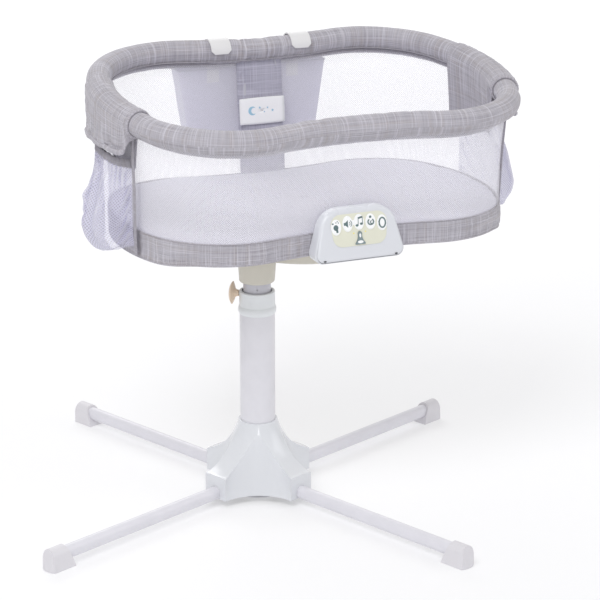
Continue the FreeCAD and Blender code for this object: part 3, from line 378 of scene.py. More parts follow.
def netCloth(name, tint, shade, threadCover, holeCover, pitch, folded=False):
    # warp-knitted polyester net: fine pale threads round open diamond holes, so it veils what is behind it
    # and looks denser where it is gathered; the real holes are 1.5 mm, drawn larger so that the net shows
    material, tree, shader = newMaterial(name, tint, 0.7, Sheen_Weight=0.2)
    place = addNode(tree, "ShaderNodeUVMap", {"uv_map": "cloth"}).outputs[0]
    turned = addNode(tree, "ShaderNodeMapping", {"Rotation": (0, 0, math.radians(45)),
                                                 "Scale": (1000 / pitch,) * 3}, {"Vector": place})
    cells = addNode(tree, "ShaderNodeTexVoronoi", {"voronoi_dimensions": "2D", "distance": "CHEBYCHEV",
                                                   "Scale": 1.0,
                                                   "Randomness": 0.0}, {"Vector": turned.outputs[0]})
    cover = stretchRange(tree, cells.outputs["Distance"], 0.24, 0.4, holeCover, threadCover)
    # the fold attribute raises the cover where the net gathers, which real net does, and mixes the colour
    # towards the shade colour in the fold valleys, which is painted shade
    if folded:
        fold = addNode(tree, "ShaderNodeAttribute", {"attribute_name": "fold"}).outputs["Fac"]
        tree.links.new(mixColours(tree, fold, tint, shade), shader.inputs["Base Color"])
        cover = addNode(tree, "ShaderNodeMath", {"operation": "MULTIPLY_ADD", "use_clamp": True, 1: 0.5},
                        {0: fold, 2: cover}).outputs[0]
    tree.links.new(cover, shader.inputs["Alpha"])
    return material


def markFoldDensityAndShade(piece, shape, gain, base):
    # how far each point of the grid lies inside the mean of its neighbours, as an attribute from 0 to 1; the
    # net thickens its cover with it, as gathered net is denser, and darkens its colour in the fold valleys,
    # which is painted shade
    points = np.empty(len(piece.data.vertices) * 3)
    piece.data.vertices.foreach_get("co", points)
    grid = points.reshape(-1, 3)[:shape[0] * shape[1]].reshape(*shape, 3)
    inside = np.zeros(shape)
    reach = 2
    middle = grid[reach:-reach, reach:-reach]
    around = (grid[2 * reach:, reach:-reach] + grid[:-2 * reach, reach:-reach]) / 2
    inside[reach:-reach, reach:-reach] = ((around - middle)[..., 0]) * np.sign(middle[..., 0]) * 1000
    value = np.clip(base + gain * inside, 0, 1)
    layer = piece.data.attributes.new("fold", "FLOAT", "POINT")
    layer.data.foreach_set("value", value.astype(np.float32).ravel())


def weaveCloth(name, ground, pale, pitch=2.4, onObject=False, strength=0.25):
    # smooth cotton-jersey sheet with a fine diagonal dot, very even and soft
    material, tree, shader = newMaterial(name, ground, 0.92, Sheen_Weight=0.3, Sheen_Roughness=0.6)
    if onObject:
        place = addNode(tree, "ShaderNodeTexCoord").outputs["Object"]
    else:
        place = addNode(tree, "ShaderNodeUVMap", {"uv_map": "cloth"}).outputs[0]
    turned = addNode(tree, "ShaderNodeMapping", {"Rotation": (0, 0, math.radians(38)),
                                                 "Scale": (1000 / pitch,) * 3}, {"Vector": place})
    dots = addNode(tree, "ShaderNodeTexVoronoi", {"voronoi_dimensions": "2D", "Scale": 1.0,
                                                  "Randomness": 0.25},
                   {"Vector": turned.outputs[0]})
    cloudy = streaks(tree, place, 140, 120, detail=3.0)
    base = mixColours(tree, stretchRange(tree, dots.outputs["Distance"], 0.2, 0.55, 0, 0.55), ground, pale)
    base = mixColours(tree, stretchRange(tree, cloudy, 0.4, 0.7, 0, 0.35), base, pale)
    tree.links.new(base, shader.inputs["Base Color"])
    bump = addNode(tree, "ShaderNodeBump", {"Strength": strength, "Distance": 0.001},
                   {"Height": dots.outputs["Distance"]})
    tree.links.new(bump.outputs[0], shader.inputs["Normal"])
    return material


def mouldedPlastic(name, base, roughness, grain=0.6, strength=0.06, coat=0.0, tone=0.03):
    # injection-moulded plastic: even colour, a slight sink and flow unevenness, fine spark-eroded grain
    material, tree, shader = newMaterial(name, base, roughness, IOR=1.49, Coat_Weight=coat,
                                         Coat_Roughness=0.12)
    place = addNode(tree, "ShaderNodeTexCoord").outputs["Object"]
    fine = addNode(tree, "ShaderNodeTexNoise", {"Scale": 1000 / grain, "Detail": 2.0}, {"Vector": place})
    flow = addNode(tree, "ShaderNodeTexNoise", {"Scale": 11.0, "Detail": 3.0}, {"Vector": place})
    darker = mixColours(tree, stretchRange(tree, flow.outputs["Fac"], 0.35, 0.65, 0, tone), base, "#8C8D93")
    tree.links.new(darker, shader.inputs["Base Color"])
    rough = stretchRange(tree, flow.outputs["Fac"], 0.2, 0.8, roughness - 0.03, roughness + 0.03)
    tree.links.new(rough, shader.inputs["Roughness"])
    bump = addNode(tree, "ShaderNodeBump", {"Strength": strength, "Distance": 0.0003},
                   {"Height": fine.outputs["Fac"]})
    tree.links.new(bump.outputs[0], shader.inputs["Normal"])
    return material


def powderCoat(name, base, roughness=0.38):
    # powder-coated steel tube: an even skin with faint orange peel of about 2 mm
    material, tree, shader = newMaterial(name, base, roughness, Coat_Weight=0.15, Coat_Roughness=0.25)
    place = addNode(tree, "ShaderNodeTexCoord").outputs["Object"]
    peel = addNode(tree, "ShaderNodeTexNoise", {"Scale": 1000 / 2.2, "Detail": 1.0}, {"Vector": place})
    worn = addNode(tree, "ShaderNodeTexNoise", {"Scale": 24.0, "Detail": 4.0}, {"Vector": place})
    tone = mixColours(tree, stretchRange(tree, worn.outputs["Fac"], 0.4, 0.7, 0, 0.07), base, "#9A9AA2")
    tree.links.new(tone, shader.inputs["Base Color"])
    tree.links.new(stretchRange(tree, worn.outputs["Fac"], 0.3, 0.7, roughness - 0.05, roughness + 0.05),
                   shader.inputs["Roughness"])
    bump = addNode(tree, "ShaderNodeBump", {"Strength": 0.08, "Distance": 0.0004},
                   {"Height": peel.outputs["Fac"]})
    tree.links.new(bump.outputs[0], shader.inputs["Normal"])
    return material


def bareSteel(name, base="#B9BABC", roughness=0.36):
    # zinc-plated steel with a faint drawn grain
    material, tree, shader = newMaterial(name, base, roughness, Metallic=1.0)
    place = addNode(tree, "ShaderNodeTexCoord").outputs["Object"]
    grain = streaks(tree, place, 6, 0.5)
    tree.links.new(stretchRange(tree, grain, 0.3, 0.7, roughness - 0.08, roughness + 0.1),
                   shader.inputs["Roughness"])
    return material


heather = heatherCloth("heathered_polyester_cloth", "#A8A5AD", "#CFCDD6", "#86838C", "#9E9696")
heatherStrip = heatherCloth("heathered_polyester_cloth_strip", "#A8A6B5", "#C6C4D2", "#868495", "#9C99A6",
                            0.95)
heatherHem = heatherCloth("heathered_polyester_hem", "#9A979F", "#B9B6C0", "#7F7C85", "#948E90", 0.9)
net = netCloth("warp_knit_net", "#F4F3FA", "#D0CEDF", 0.6, 0.1, 3.4)
# the second colour is the painted shade in the pocket net's fold valleys
pocketNet = netCloth("warp_knit_net_pocket", "#D0CEE2", "#9694B2", 0.66, 0.26, 5.2, folded=True)
sheetJersey = weaveCloth("jersey_sheet", "#BFBDCB", "#CFCDDA")
caddyWeave = weaveCloth("pressed_polyester_weave", "#C7C5D6", "#D6D4E2", pitch=3.0)
binding = weaveCloth("ribbed_binding_tape", "#BFBECB", "#D3D2DE", pitch=1.8)
hubPlastic = mouldedPlastic("gloss_moulded_polypropylene", "#DADCE1", 0.24, strength=0.02, coat=0.6, tone=0.0)
legPaint = powderCoat("powder_coated_leg_steel", "#DDDCE3")
columnPaint = powderCoat("powder_coated_column_steel", "#DDDCE2", 0.34)
footPlastic = mouldedPlastic("moulded_foot_plastic", "#DAD8DD", 0.5)
collarPlastic = mouldedPlastic("moulded_collar_plastic", "#E3E6E9", 0.36)
mastPaint = powderCoat("powder_coated_mast_steel", "#C4C3CB", 0.32)
armPlastic = mouldedPlastic("warm_moulded_arm_plastic", "#CFCBC0", 0.42)
knobPlastic = mouldedPlastic("beige_knob_plastic", "#EFDAC3", 0.4)
podPlastic = mouldedPlastic("satin_moulded_abs", "#D6D8DE", 0.28, coat=0.35, tone=0.0)
filmPlastic = mouldedPlastic("printed_polyester_film", "#DCDCCC", 0.45, strength=0.02)
keyRubber = mouldedPlastic("white_silicone_key", "#F4F5F6", 0.45, strength=0.03)
bellRubber = mouldedPlastic("slate_silicone_key", "#7E8D90", 0.5, strength=0.03)
iconInk = mouldedPlastic("slate_key_ink", "#5F7476", 0.55, strength=0.0)
hookPlastic = mouldedPlastic("white_moulded_hook", "#DEDDDE", 0.42)
innerPlastic = mouldedPlastic("moulded_nylon", "#B9B9BF", 0.45)
boardPlastic = mouldedPlastic("fibreglass_board", "#3E6650", 0.5)
trayBoard = mouldedPlastic("pressed_board", "#C9C5BF", 0.7)
darkPlastic = mouldedPlastic("black_moulded_insert", "#3A3B40", 0.5)
dotYellow = mouldedPlastic("yellow_ink_dot", "#EFE27A", 0.5)
steel = bareSteel("zinc_plated_steel")
railSteel = powderCoat("powder_coated_frame_steel", "#B7B6BE")

nodeFinish = {"leg_": legPaint, "foot_cap": footPlastic, "leg_screws": steel, "hub_cover": hubPlastic,
              "hub_core": innerPlastic, "hub_base_plate": innerPlastic, "column_tube": columnPaint,
              "column_collar": collarPlastic, "collar_bush": innerPlastic, "knob_spring": steel,
              "knob_cap": knobPlastic, "knob_pin": steel, "mast_tube": mastPaint, "mast_guide": innerPlastic,
              "mast_head": innerPlastic, "swivel_arm": armPlastic, "swivel_bush": innerPlastic,
              "floor_tray": trayBoard, "base_ring": railSteel, "rear_rail_tube": railSteel,
              "rear_post": railSteel, "front_rail_frame": railSteel, "hinge_blocks": innerPlastic,
              "hinge_pins": steel, "hinge_springs": steel, "caddy_hooks": hookPlastic,
              "pod_front": podPlastic,
              "pod_back": podPlastic, "battery_door": podPlastic, "pod_overlay": filmPlastic,
              "circuit_board": boardPlastic, "speaker": darkPlastic, "battery_cells": steel,
              "button_": keyRubber, "light_button": bellRubber}


def dress(piece, material):
    piece.data.materials.clear()
    piece.data.materials.append(material)
    return piece


for nodeName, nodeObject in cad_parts.items():
    named = [key for key in nodeFinish if nodeName.startswith(key)]
    if named:
        finish = nodeFinish[max(named, key=len)]
        for slotIndex in range(len(nodeObject.material_slots)):
            nodeObject.material_slots[slotIndex].material = finish
        if not nodeObject.material_slots:
            nodeObject.data.materials.append(finish)
print("finishes on the carried parts done")

# ---- camera, floor and light ----
view = {"distance": 4.36655, "height": 1.85403, "pitch": 18.002, "turn": 21.672, "yaw": 1.209, "lens": 128.1}
camera = bpy.data.objects.new("camera", bpy.data.cameras.new("camera"))
camera.data.lens = view["lens"]
camera.data.sensor_width = 36
camera.data.clip_end = 60
turnRadians = math.radians(view["turn"])
camera.location = (-view["distance"] * math.sin(turnRadians), -view["distance"] * math.cos(turnRadians),
                   view["height"])
camera.rotation_euler = (math.radians(90 - view["pitch"]), 0, -math.radians(view["turn"] + view["yaw"]))
bpy.context.scene.collection.objects.link(camera)
bpy.context.scene.camera = camera

floorMesh = bpy.data.meshes.new("floor")
floorMesh.from_pydata([(-14, -14, -0.0005), (14, -14, -0.0005), (14, 14, -0.0005), (-14, 14, -0.0005)], [],
                      [(0, 1, 2, 3)])
floor = bpy.data.objects.new("floor", floorMesh)
bpy.context.scene.collection.objects.link(floor)
floorFinish, _, floorShader = newMaterial("matt_studio_paper", "#C9C9CB", 0.95,
                                          Emission_Strength=0.36)
floorShader.inputs["Emission Color"].default_value = colour("#FFFFFF")
dress(floor, floorFinish)

world = bpy.data.worlds.new("studio")
bpy.context.scene.world = world
world.use_nodes = True
world.node_tree.nodes["Background"].inputs["Color"].default_value = (1.0, 1.0, 1.0, 1)
world.node_tree.nodes["Background"].inputs["Strength"].default_value = 0.64
bpy.context.scene.view_settings.view_transform = "Standard"


def softLight(name, place, target, size, power, tint=(1, 1, 1)):
    lamp = bpy.data.lights.new(name, "AREA")
    lamp.shape = "RECTANGLE"
    lamp.size, lamp.size_y = size
    lamp.energy = power
    lamp.color = tint
    holder = bpy.data.objects.new(name, lamp)
    holder.location = place
    aim = np.array(target, float) - np.array(place, float)
    holder.rotation_euler = (math.atan2(math.hypot(aim[0], aim[1]), -aim[2]), 0, math.atan2(-aim[0], aim[1]))
    bpy.context.scene.collection.objects.link(holder)
    return holder


softLight("key_light", (-1.9, -1.7, 4.0), (0.1, 0.1, 0.6), (2.0, 2.0), 74)
softLight("fill_light", (3.4, -1.6, 2.2), (0.1, 0.1, 0.6), (2.4, 2.4), 20)
softLight("back_light", (0.4, 3.4, 2.8), (0.1, 0.1, 0.7), (3.0, 1.6), 34)
softLight("strip_light", (-1.1, -3.4, 1.7), (0.1, 0.1, 0.5), (0.25, 1.6), 10)
softLight("background_light", (2.5, 7.5, 4.5), (3.5, 9.0, 0.0), (10, 6), 320)
print("camera, floor and light done")

# ---- padded rail ----
railPad = {"rearEnd": -58, "frontEnd": -126, "radius": 25.6, "step": 6.0, "sides": 34, "seamAngle": 235}


def railShares(startShare, endShareValue, step):
    count = int((endShareValue - startShare) * girth / step) + 1
    return np.linspace(startShare, endShareValue, count)


def padTube(name, startShare, endShareValue, seed):
    # radius varies a little along the rail and round it; a narrow groove is the sewn seam
    shares = railShares(startShare, endShareValue, railPad["step"])
    turn = np.linspace(0, 2 * math.pi, railPad["sides"], endpoint=False)
    s, a = np.meshgrid(shares * girth, turn, indexing="ij")
    uneven = 0.35 * ripple(s / 120, a / (2 * math.pi), seed)
    radius = railPad["radius"] + uneven
    grid = railAt(np.broadcast_to(shares[:, None], s.shape), radius * np.cos(a), radius * np.sin(a))
    piece = surface(name, grid, closedV=True, caps=True)
    seam = np.cos(a - math.radians(railPad["seamAngle"])) > math.cos(math.radians(5))
    ends = (s - s.min() < 8) | (s.max() - s < 8)
    drape(piece, 2.2, (seam | ends).astype(float), pressure=2.0, spare=0.02, bending=0.15)
    return piece


rearStart = endShare(railPad["rearEnd"])
rearPad = padTube("rear_rail_cover", rearStart, 0.5 - rearStart, 3)
frontStart = endShare(railPad["frontEnd"])
frontPad = padTube("front_rail_cover", 0.5 - frontStart, 1 + frontStart, 8)


def railPiping(name, startShare, endShareValue, degrees, radius):
    # sewn cord along the pad's seam
    shares = railShares(startShare, endShareValue, 5)
    spot = math.radians(degrees)
    bumpy = radius + 0.25 * np.sin(np.arange(len(shares)) * 1.7)
    path = railAt(shares, (railPad["radius"] + 0.8) * math.cos(spot),
                  (railPad["radius"] + 0.8) * math.sin(spot))
    return tube(name, path, bumpy, sides=8)


rearPipings = [railPiping("rear_rail_piping_%d" % (index + 1), rearStart, 0.5 - rearStart, degrees, 1.5)
               for index, degrees in enumerate((222, 246))]
frontPipings = [railPiping("front_rail_piping", 0.5 - frontStart, 1 + frontStart, 262, 1.5)]
print("rail pads done")

# ---- mattress ----
mattress = {"outset": 2.6, "bottom": 593.5, "crown": 2.5, "edge": 5.0, "rings": 46, "around": 260}


def mattressGrid():
    # rings that shrink from the edge to the middle on top, a rounded edge, and the same underneath
    shares = np.linspace(0, 1, mattress["around"], endpoint=False)
    top = np.linspace(0.012, 1, mattress["rings"])
    curve = np.linspace(0, 1, 9)[1:-1]
    rows = []
    point, normal = outlineAt(shares)
    rim = point + normal * (mattress["outset"] - mattress["edge"])
    topZ, lowZ = basket["mattressTop"] + 1.8, mattress["bottom"]
    for share in top:
        flat = rim * share
        height = topZ + mattress["crown"] * (1 - share ** 2)
        rows.append(np.concatenate([flat, np.full((len(shares), 1), height)], 1))
    middle = (topZ + lowZ) / 2
    half = (topZ - lowZ) / 2
    for t in curve:
        bulge = mattress["edge"] * math.sin(math.pi * t) ** 0.5
        level = np.full((len(shares), 1), middle + half * math.cos(math.pi * t))
        rows.append(np.concatenate([rim + normal * bulge, level], 1))
    for share in top[::-1]:
        rows.append(np.concatenate([rim * share, np.full((len(shares), 1), lowZ)], 1))
    return np.array(rows)


mattressRows = mattressGrid()
mattressPiece = surface("mattress_in_sheet", mattressRows, closedV=True, caps=True)
heights = mattressRows[..., 2]
drape(mattressPiece, 3.0, (heights < basket["mattressTop"] - 12).astype(float), pressure=1.5, spare=0.004,
      bending=2.0)
print("mattress done")

# ---- fabric band round the mattress ----
band = {"outset": 4.5, "bulge": 1.6, "endDrop": 11.0, "lip": 7.0}


def endWeight(share):
    # 1 at the two ends of the basket, 0 along its sides
    point, normal = outlineAt(share)
    return smooth(abs(point[..., 0]), 330, 405)


def bandGrid(seed):
    # from the inside of the top edge, over it, down the outside and under to the tray
    shares = np.linspace(0, 1, 380, endpoint=False)
    drop = band["endDrop"] * endWeight(shares)
    t = np.linspace(0, 1, 16)
    s, v = np.meshgrid(shares, t, indexing="ij")
    low = (basket["bandBottom"] - drop)[:, None]
    high = basket["mattressTop"] - 0.4
    outset = band["outset"] + band["bulge"] * np.sin(math.pi * v) + 0.5 * ripple(s * girth / 90, v, seed)
    body = wallAt(s, outset, high + (low - high) * v)
    top = wallAt(shares[:, None] + np.zeros((1, 2)), np.array([[1.5, 3.4]]) + np.zeros((len(shares), 1)),
                 np.array([[high - 3.5, high - 0.4]]) + np.zeros((len(shares), 1)))
    under = np.linspace(2, -band["lip"], 3)[None]
    lip = wallAt(shares[:, None] + np.zeros((1, 3)), under + np.zeros((len(shares), 1)),
                 np.minimum(low + np.zeros((1, 3)), basket["bandBottom"] - 0.8)
                 + np.array([[-0.9, -0.6, 0.2]]))
    return np.concatenate([top, body, lip], 1), v


bandPoints, _ = bandGrid(5)
bandPiece = surface("mattress_band", bandPoints, closedU=True, flip=True)
bandPinned = np.ones(bandPoints.shape[:2])
bandPinned[:, 4:16] = 0
drape(bandPiece, 2.4, bandPinned, spare=0.03, bending=0.2)


def pipingLoop(name, outset, height, radius, dropEnds=False):
    shares = np.linspace(0, 1, 460, endpoint=False)
    drop = band["endDrop"] * endWeight(shares) if dropEnds else 0
    return tube(name, wallAt(shares, np.full(len(shares), outset), height - drop), radius, sides=8,
                closed=True)


topPiping = pipingLoop("band_piping_top", 5.2, basket["mattressTop"] + 0.2, 1.3)
lowPiping = pipingLoop("band_piping_bottom", 4.6, basket["bandBottom"] - 0.4, 1.9, dropEnds=True)
print("band done")

# ---- net walls ----
wall = {"lowOutset": 4.0, "highOutset": 13.0, "pull": 3.0, "endY": -104}


def wallShareAt(depth):
    # share at which the wall's right end has this depth
    return math.asin(depth / (arcs[0, 2] + wall["lowOutset"])) * arcs[0, 2] / girth


def wallGrid(startShare, endShareValue, stepAlong, rows, topInset, seed):
    # straight lean from the band to the rail, drawn in a little between them, with faint slack waves
    count = int((endShareValue - startShare) * girth / stepAlong) + 1
    s, t = np.meshgrid(np.linspace(startShare, endShareValue, count), np.linspace(0, 1, rows), indexing="ij")
    top = railAt(s[:, :1], np.full((count, 1), wall["highOutset"] - rail["outset"]), -topInset)[..., 2]
    low = basket["mattressTop"] + 0.6
    slack = 1.1 * ripple(s * girth / 150, t * 0.7, seed) * np.sin(math.pi * t)
    outset = (wall["lowOutset"] + (wall["highOutset"] - wall["lowOutset"]) * t
              - wall["pull"] * np.sin(math.pi * t) + slack)
    return wallAt(s, outset, low + (top - low) * t)


frontShare = wallShareAt(wall["endY"])
sideWall = surface("net_wall_rear", wallGrid(frontShare, 0.5 - frontShare, 9, 26, 24.5, 11), flip=True)
frontNet = surface("net_wall_front", wallGrid(0.5 - frontShare, 1 + frontShare, 9, 26, 24.5, 12), flip=True)


def hemStrip(name, startShare, endShareValue, seed):
    # folded cloth edge that joins the net to the rail, with a rounded lower edge
    count = int((endShareValue - startShare) * girth / 7) + 1
    s, t = np.meshgrid(np.linspace(startShare, endShareValue, count),
                       np.linspace(0, 2 * math.pi, 12, endpoint=False),
                       indexing="ij")
    deep = 6.5 + 0.4 * ripple(s * girth / 60, t, seed)
    return surface(name, railAt(s, wall["highOutset"] - rail["outset"] + 1.9 * np.cos(t),
                                -28 + deep * np.sin(t)),
                   closedV=True, caps=True)


rearHem = hemStrip("rear_wall_hem", frontShare, 0.5 - frontShare, 21)
frontHem = hemStrip("front_wall_hem", 0.5 - frontShare, 1 + frontShare, 22)
print("net walls done")

# ---- end covers: a sleeve over the rail that opens into a hanging flap outside and a lining inside ----
cover = {"radius": 29.8, "rearY": 110, "mouthY": -129, "openFrom": -128.5, "openTo": -120, "hem": 791,
         "liningHem": 744, "flapOutset": 46, "liningOutset": -2.5, "corner": 24, "mouthRadius": 28.6}


def coverGrid(side, seed):
    # one profile carried along the end of the rail: v runs from the lining's hem, over the pad, to the flap's
    # hem; at the mouth the profile closes round the pad like a sleeve
    mouth, rear = endShare(cover["mouthY"]), endShare(cover["rearY"])
    shares = np.concatenate([np.linspace(mouth, mouth + 3 / girth, 5)[:-1],
                             np.linspace(mouth + 3 / girth, rear, 84)])
    v = np.concatenate([np.linspace(-1, -0.45, 15)[:-1], np.linspace(-0.45, 0.4, 40)[:-1],
                        np.linspace(0.4, 1, 30)])
    s, t = np.meshgrid(shares, v, indexing="ij")
    depth = railAt(s, np.zeros(s.shape), 0)[..., 1]
    opened = smooth(depth, cover["openFrom"], cover["openTo"])
    pleats = np.sin(t * 74 + 1.5 * np.sin(t * 17)) * (1 - smooth(depth, cover["mouthY"], -70)) * 0.9
    creases = 0.6 * ripple(s * girth / 38, t * 2.2, seed)
    radius = cover["radius"] + pleats + creases
    folded = 1 - smooth(depth, cover["mouthY"], cover["mouthY"] + 2.6)
    radius = radius + (cover["mouthRadius"] - radius) * folded
    # round the pad: the angle runs from -90 degrees inside, over the top, to -90 degrees outside
    closedAngle = math.radians(90) - t * math.pi
    openAngle = math.radians(90) * np.where(t < 0, 1 - np.maximum(t, -0.45) / 0.45,
                                            1 - np.minimum(t, 0.4) / 0.4)
    around = railAt(s, radius * np.cos(closedAngle), radius * np.sin(closedAngle))
    over = railAt(s, radius * np.cos(openAngle), radius * np.sin(openAngle))
    fold = 2.0 * ripple(s * girth / 70, t, seed + 1, ((1.0, 1.0), (1.9, 0.5)))
    inner = np.clip((-t - 0.45) / 0.55, 0, 1)
    outer = np.clip((t - 0.4) / 0.6, 0, 1)
    innerEdge = railAt(s, -radius, 0)[..., 2]
    outerEdge = railAt(s, radius, 0)[..., 2]
    innerOut = (rail["outset"] - radius
                + (cover["liningOutset"] - rail["outset"] + radius) * smooth(inner, 0, 1))
    outerOut = (rail["outset"] + radius
                + (cover["flapOutset"] - rail["outset"] - radius) * outer + fold * outer)
    # the hem turns up to the front edge round a corner
    near = np.clip(cover["corner"] - (depth - cover["openTo"] + 2), 0, cover["corner"])
    hemLine = cover["hem"] + cover["corner"] - np.sqrt(cover["corner"] ** 2 - near ** 2)
    hanging = np.where(t > 0, outerOut, innerOut)
    liningLine = innerEdge - 12 + (cover["liningHem"] - innerEdge + 12) * smooth(depth, -98, -80)
    hangZ = np.where(t > 0, outerEdge + (hemLine - outerEdge) * outer,
                     innerEdge + (liningLine - innerEdge) * inner)
    hung = wallAt(s, hanging, hangZ)
    onPad = ((t >= -0.45) & (t <= 0.4))[..., None]
    openShape = np.where(onPad, over, hung)
    grid = around * (1 - opened[..., None]) + openShape * opened[..., None]
    grid[..., 0] *= side
    return grid, t, depth


coverPieces, flapHems, mouthEdges = [], [], []
for side, word in ((1, "right"), (-1, "left")):
    points, coverT, _ = coverGrid(side, 30 + side)
    piece = surface("end_sleeve_" + word, points, flip=side < 0)
    pinned = np.ones(coverT.shape)
    pinned[(coverT > 0.46) & (coverT < 0.97)] = 0.0
    pinned[(coverT > -0.35) & (coverT < 0.36)] = 0.5
    pinned[:5] = 1
    pinned[-2:] = 1
    drape(piece, 5.0, pinned, spare=0.035, gravity=0.3, bending=0.3)
    coverPieces.append(piece)
    # padded roll along the flap's free edge, quilted across, thin where the flap becomes the sleeve
    edge = points[4:, -1]
    k = np.arange(len(edge))
    bead = 6.0 + 0.9 * np.sin(k * 1.45) * np.sin(k * 0.37)
    bead = 1.4 + (bead - 1.4) * smooth(k, 1, 7)
    flapHems.append(tube("flap_hem_" + word, edge + np.array([side * 1.5, 0, 0]), bead, sides=14))
    # turned edge of the sleeve's mouth, which closes it on the pad
    turn = np.linspace(0, 2 * math.pi, 72, endpoint=False)
    mouthShare = np.full(len(turn), endShare(cover["mouthY"] + 0.6))
    mouthRing = railAt(mouthShare, 28.4 * np.cos(turn), 28.4 * np.sin(turn)) * [side, 1, 1]
    mouthEdges.append(tube("sleeve_edge_" + word, mouthRing, 2.9 + 0.25 * np.sin(turn * 24), sides=12,
                           closed=True))
print("end covers done")

# ---- end pockets of net ----
pocket = {"top": 768, "bottom": 566, "halfSpan": 98, "hemDepth": 19, "wallOutset": 14.5, "hemDrop": 8}


def pocketGrid(side, seed):
    # bowed net bag over the end wall: gathered at the hem, fullest low down, drawn in under the band; long
    # folds fan out from the hem
    y = np.linspace(-1, 1, 120)
    t = np.linspace(0, 1, 76)
    a, b = np.meshgrid(y, t, indexing="ij")
    depth = a * pocket["halfSpan"] * (1 - 0.05 * np.sin(math.pi * b))
    full = 1 - np.abs(a) ** 3
    foot = smooth(b, 0.8, 1.0)
    out = 22 + 50 * np.clip(b / 0.72, 0, 1) ** 0.8
    out = np.where(b > 0.72, 8 + 64 * np.sqrt(1 - np.clip((b - 0.72) / 0.28, 0, 1) ** 2), out)
    gathers = np.sin(a * 40 + 2 * np.sin(a * 9)) * (2.2 * (1 - smooth(b, 0.03, 0.35)))
    long = (np.sin(a * 9.5 + 1.4 * b + 1.3 * np.sin(a * 4 + 2 * b)) * 5.5
            * smooth(b, 0.05, 0.4) * (1 - 0.7 * foot))
    slant = (7 * np.exp(-((a + 0.15 - 0.75 * (b - 0.1)) / 0.07) ** 2)
             * smooth(b, 0.0, 0.2) * (1 - smooth(b, 0.6, 0.9)))
    slantBack = (7 * np.exp(-((a - 0.35 + 0.6 * b) / 0.06) ** 2)
                 * smooth(b, 0.05, 0.3) * (1 - smooth(b, 0.5, 0.85)))
    cross = 5 * np.exp(-((b - 0.62 - 0.05 * a) / 0.035) ** 2) * smooth(a, -0.4, 0.2)
    out = (out + gathers + long + slant + slantBack - cross) * full
    radius = arcs[0, 2] + pocket["wallOutset"]
    x = arcs[0, 0] + np.sqrt(radius ** 2 - depth ** 2) + np.maximum(out, 0.4)
    hemSag = pocket["hemDrop"] * smooth(-a, -0.6, 0.9) * (1 - b)
    frontLift = 20 * smooth(-a, 0.1, 1) * smooth(b, 0.5, 1)
    z = (pocket["top"] - hemSag + (pocket["bottom"] - pocket["top"]) * b
         - 8 * full * smooth(b, 0.6, 1) + frontLift)
    return np.stack([x * side, depth, z], -1), a, b


pocketPieces = []
pocketHems = []
for side, word in ((1, "right"), (-1, "left")):
    points, pocketA, pocketB = pocketGrid(side, 50 + side)
    piece = surface("end_pocket_net_" + word, points, flip=side > 0)
    pinned = ((pocketB < 0.03) | (pocketB > 0.985) | (np.abs(pocketA) > 0.985)).astype(float)
    drape(piece, 6.0, pinned, spare=0.10, gravity=0.5, bending=0.05, tension=8)
    pocketPieces.append((piece, pocketA.shape))
    # gathered hem: a flat elastic tunnel that follows the pocket's top edge
    top = points[:, 0] * [1, 1, 1]
    turn = np.linspace(0, 2 * math.pi, 14, endpoint=False)
    k = np.arange(len(top))[:, None]
    crimp = 1.5 * np.sin(k * 1.9 + 1.2 * np.sin(turn)[None] * 2) + 0.7 * np.sin(k * 0.8)
    section = np.stack([side * (3.0 + crimp) * np.cos(turn)[None] + side * 1.0,
                        np.zeros((len(top), len(turn))),
                        (pocket["hemDepth"] / 2 + 0.6 * crimp) * np.sin(turn)[None] + 2], -1)
    pocketHems.append(surface("end_pocket_hem_" + word, top[:, None] + section, closedV=True, caps=True,
                              flip=side < 0))
print("pockets done")

# ---- strip over the rear post, and its label ----
strip = {"halfWidth": 54, "front": 8.0, "footInset": 13.0, "low": 619, "topReach": 22}


def postPlane(height):
    # depth of the rear post's middle at a height, as it leans with the wall
    topFlat = basket["waistHalfWidth"] + rail["outset"]
    topY = topFlat * math.cos(rail["tilt"])
    topZ = rail["height"] + topFlat * math.sin(rail["tilt"])
    lowY = basket["waistHalfWidth"] - strip["footInset"]
    lowZ = basket["bandBottom"] + 4
    return lowY + (topY - lowY) * (np.asarray(height, float) - lowZ) / (topZ - lowZ)


def stripGrid():
    # a flat tube of cloth: a rounded rectangle section carried up the leaning post
    topZ = (rail["height"] + (basket["waistHalfWidth"] + rail["outset"]) * math.sin(rail["tilt"])
            - strip["topReach"])
    z = np.linspace(strip["low"], topZ, 60)
    turn = np.linspace(0, 2 * math.pi, 72, endpoint=False)
    h, a = np.meshgrid(z, turn, indexing="ij")
    cosA, sinA = np.cos(a), np.sin(a)
    x = strip["halfWidth"] * np.sign(cosA) * np.abs(cosA) ** 0.35
    thick = strip["front"] - 1.0
    y = postPlane(h) + thick * np.sign(sinA) * np.abs(sinA) ** 0.6 * (1 + 0.12 * ripple(x / 50, h / 90, 61))
    return np.stack([x, np.minimum(y, postPlane(h) + 6), h], -1)


stripPoints = stripGrid()
stripPiece = surface("rear_post_sleeve", stripPoints, closedV=True, caps=True, flip=True)
stripPinned = ((np.abs(stripPoints[..., 0]) > strip["halfWidth"] * 0.93)
               | (stripPoints[..., 1] > postPlane(stripPoints[..., 2])))
drape(stripPiece, 1.0, stripPinned.astype(float), pressure=0.8, spare=0.02, bending=0.3)

label = {"halfWidth": 55, "low": 734, "high": 795, "lift": 10.6, "corner": 5}


def labelPoint(x, z, lift):
    return np.stack([x, postPlane(z) - lift, z], -1)


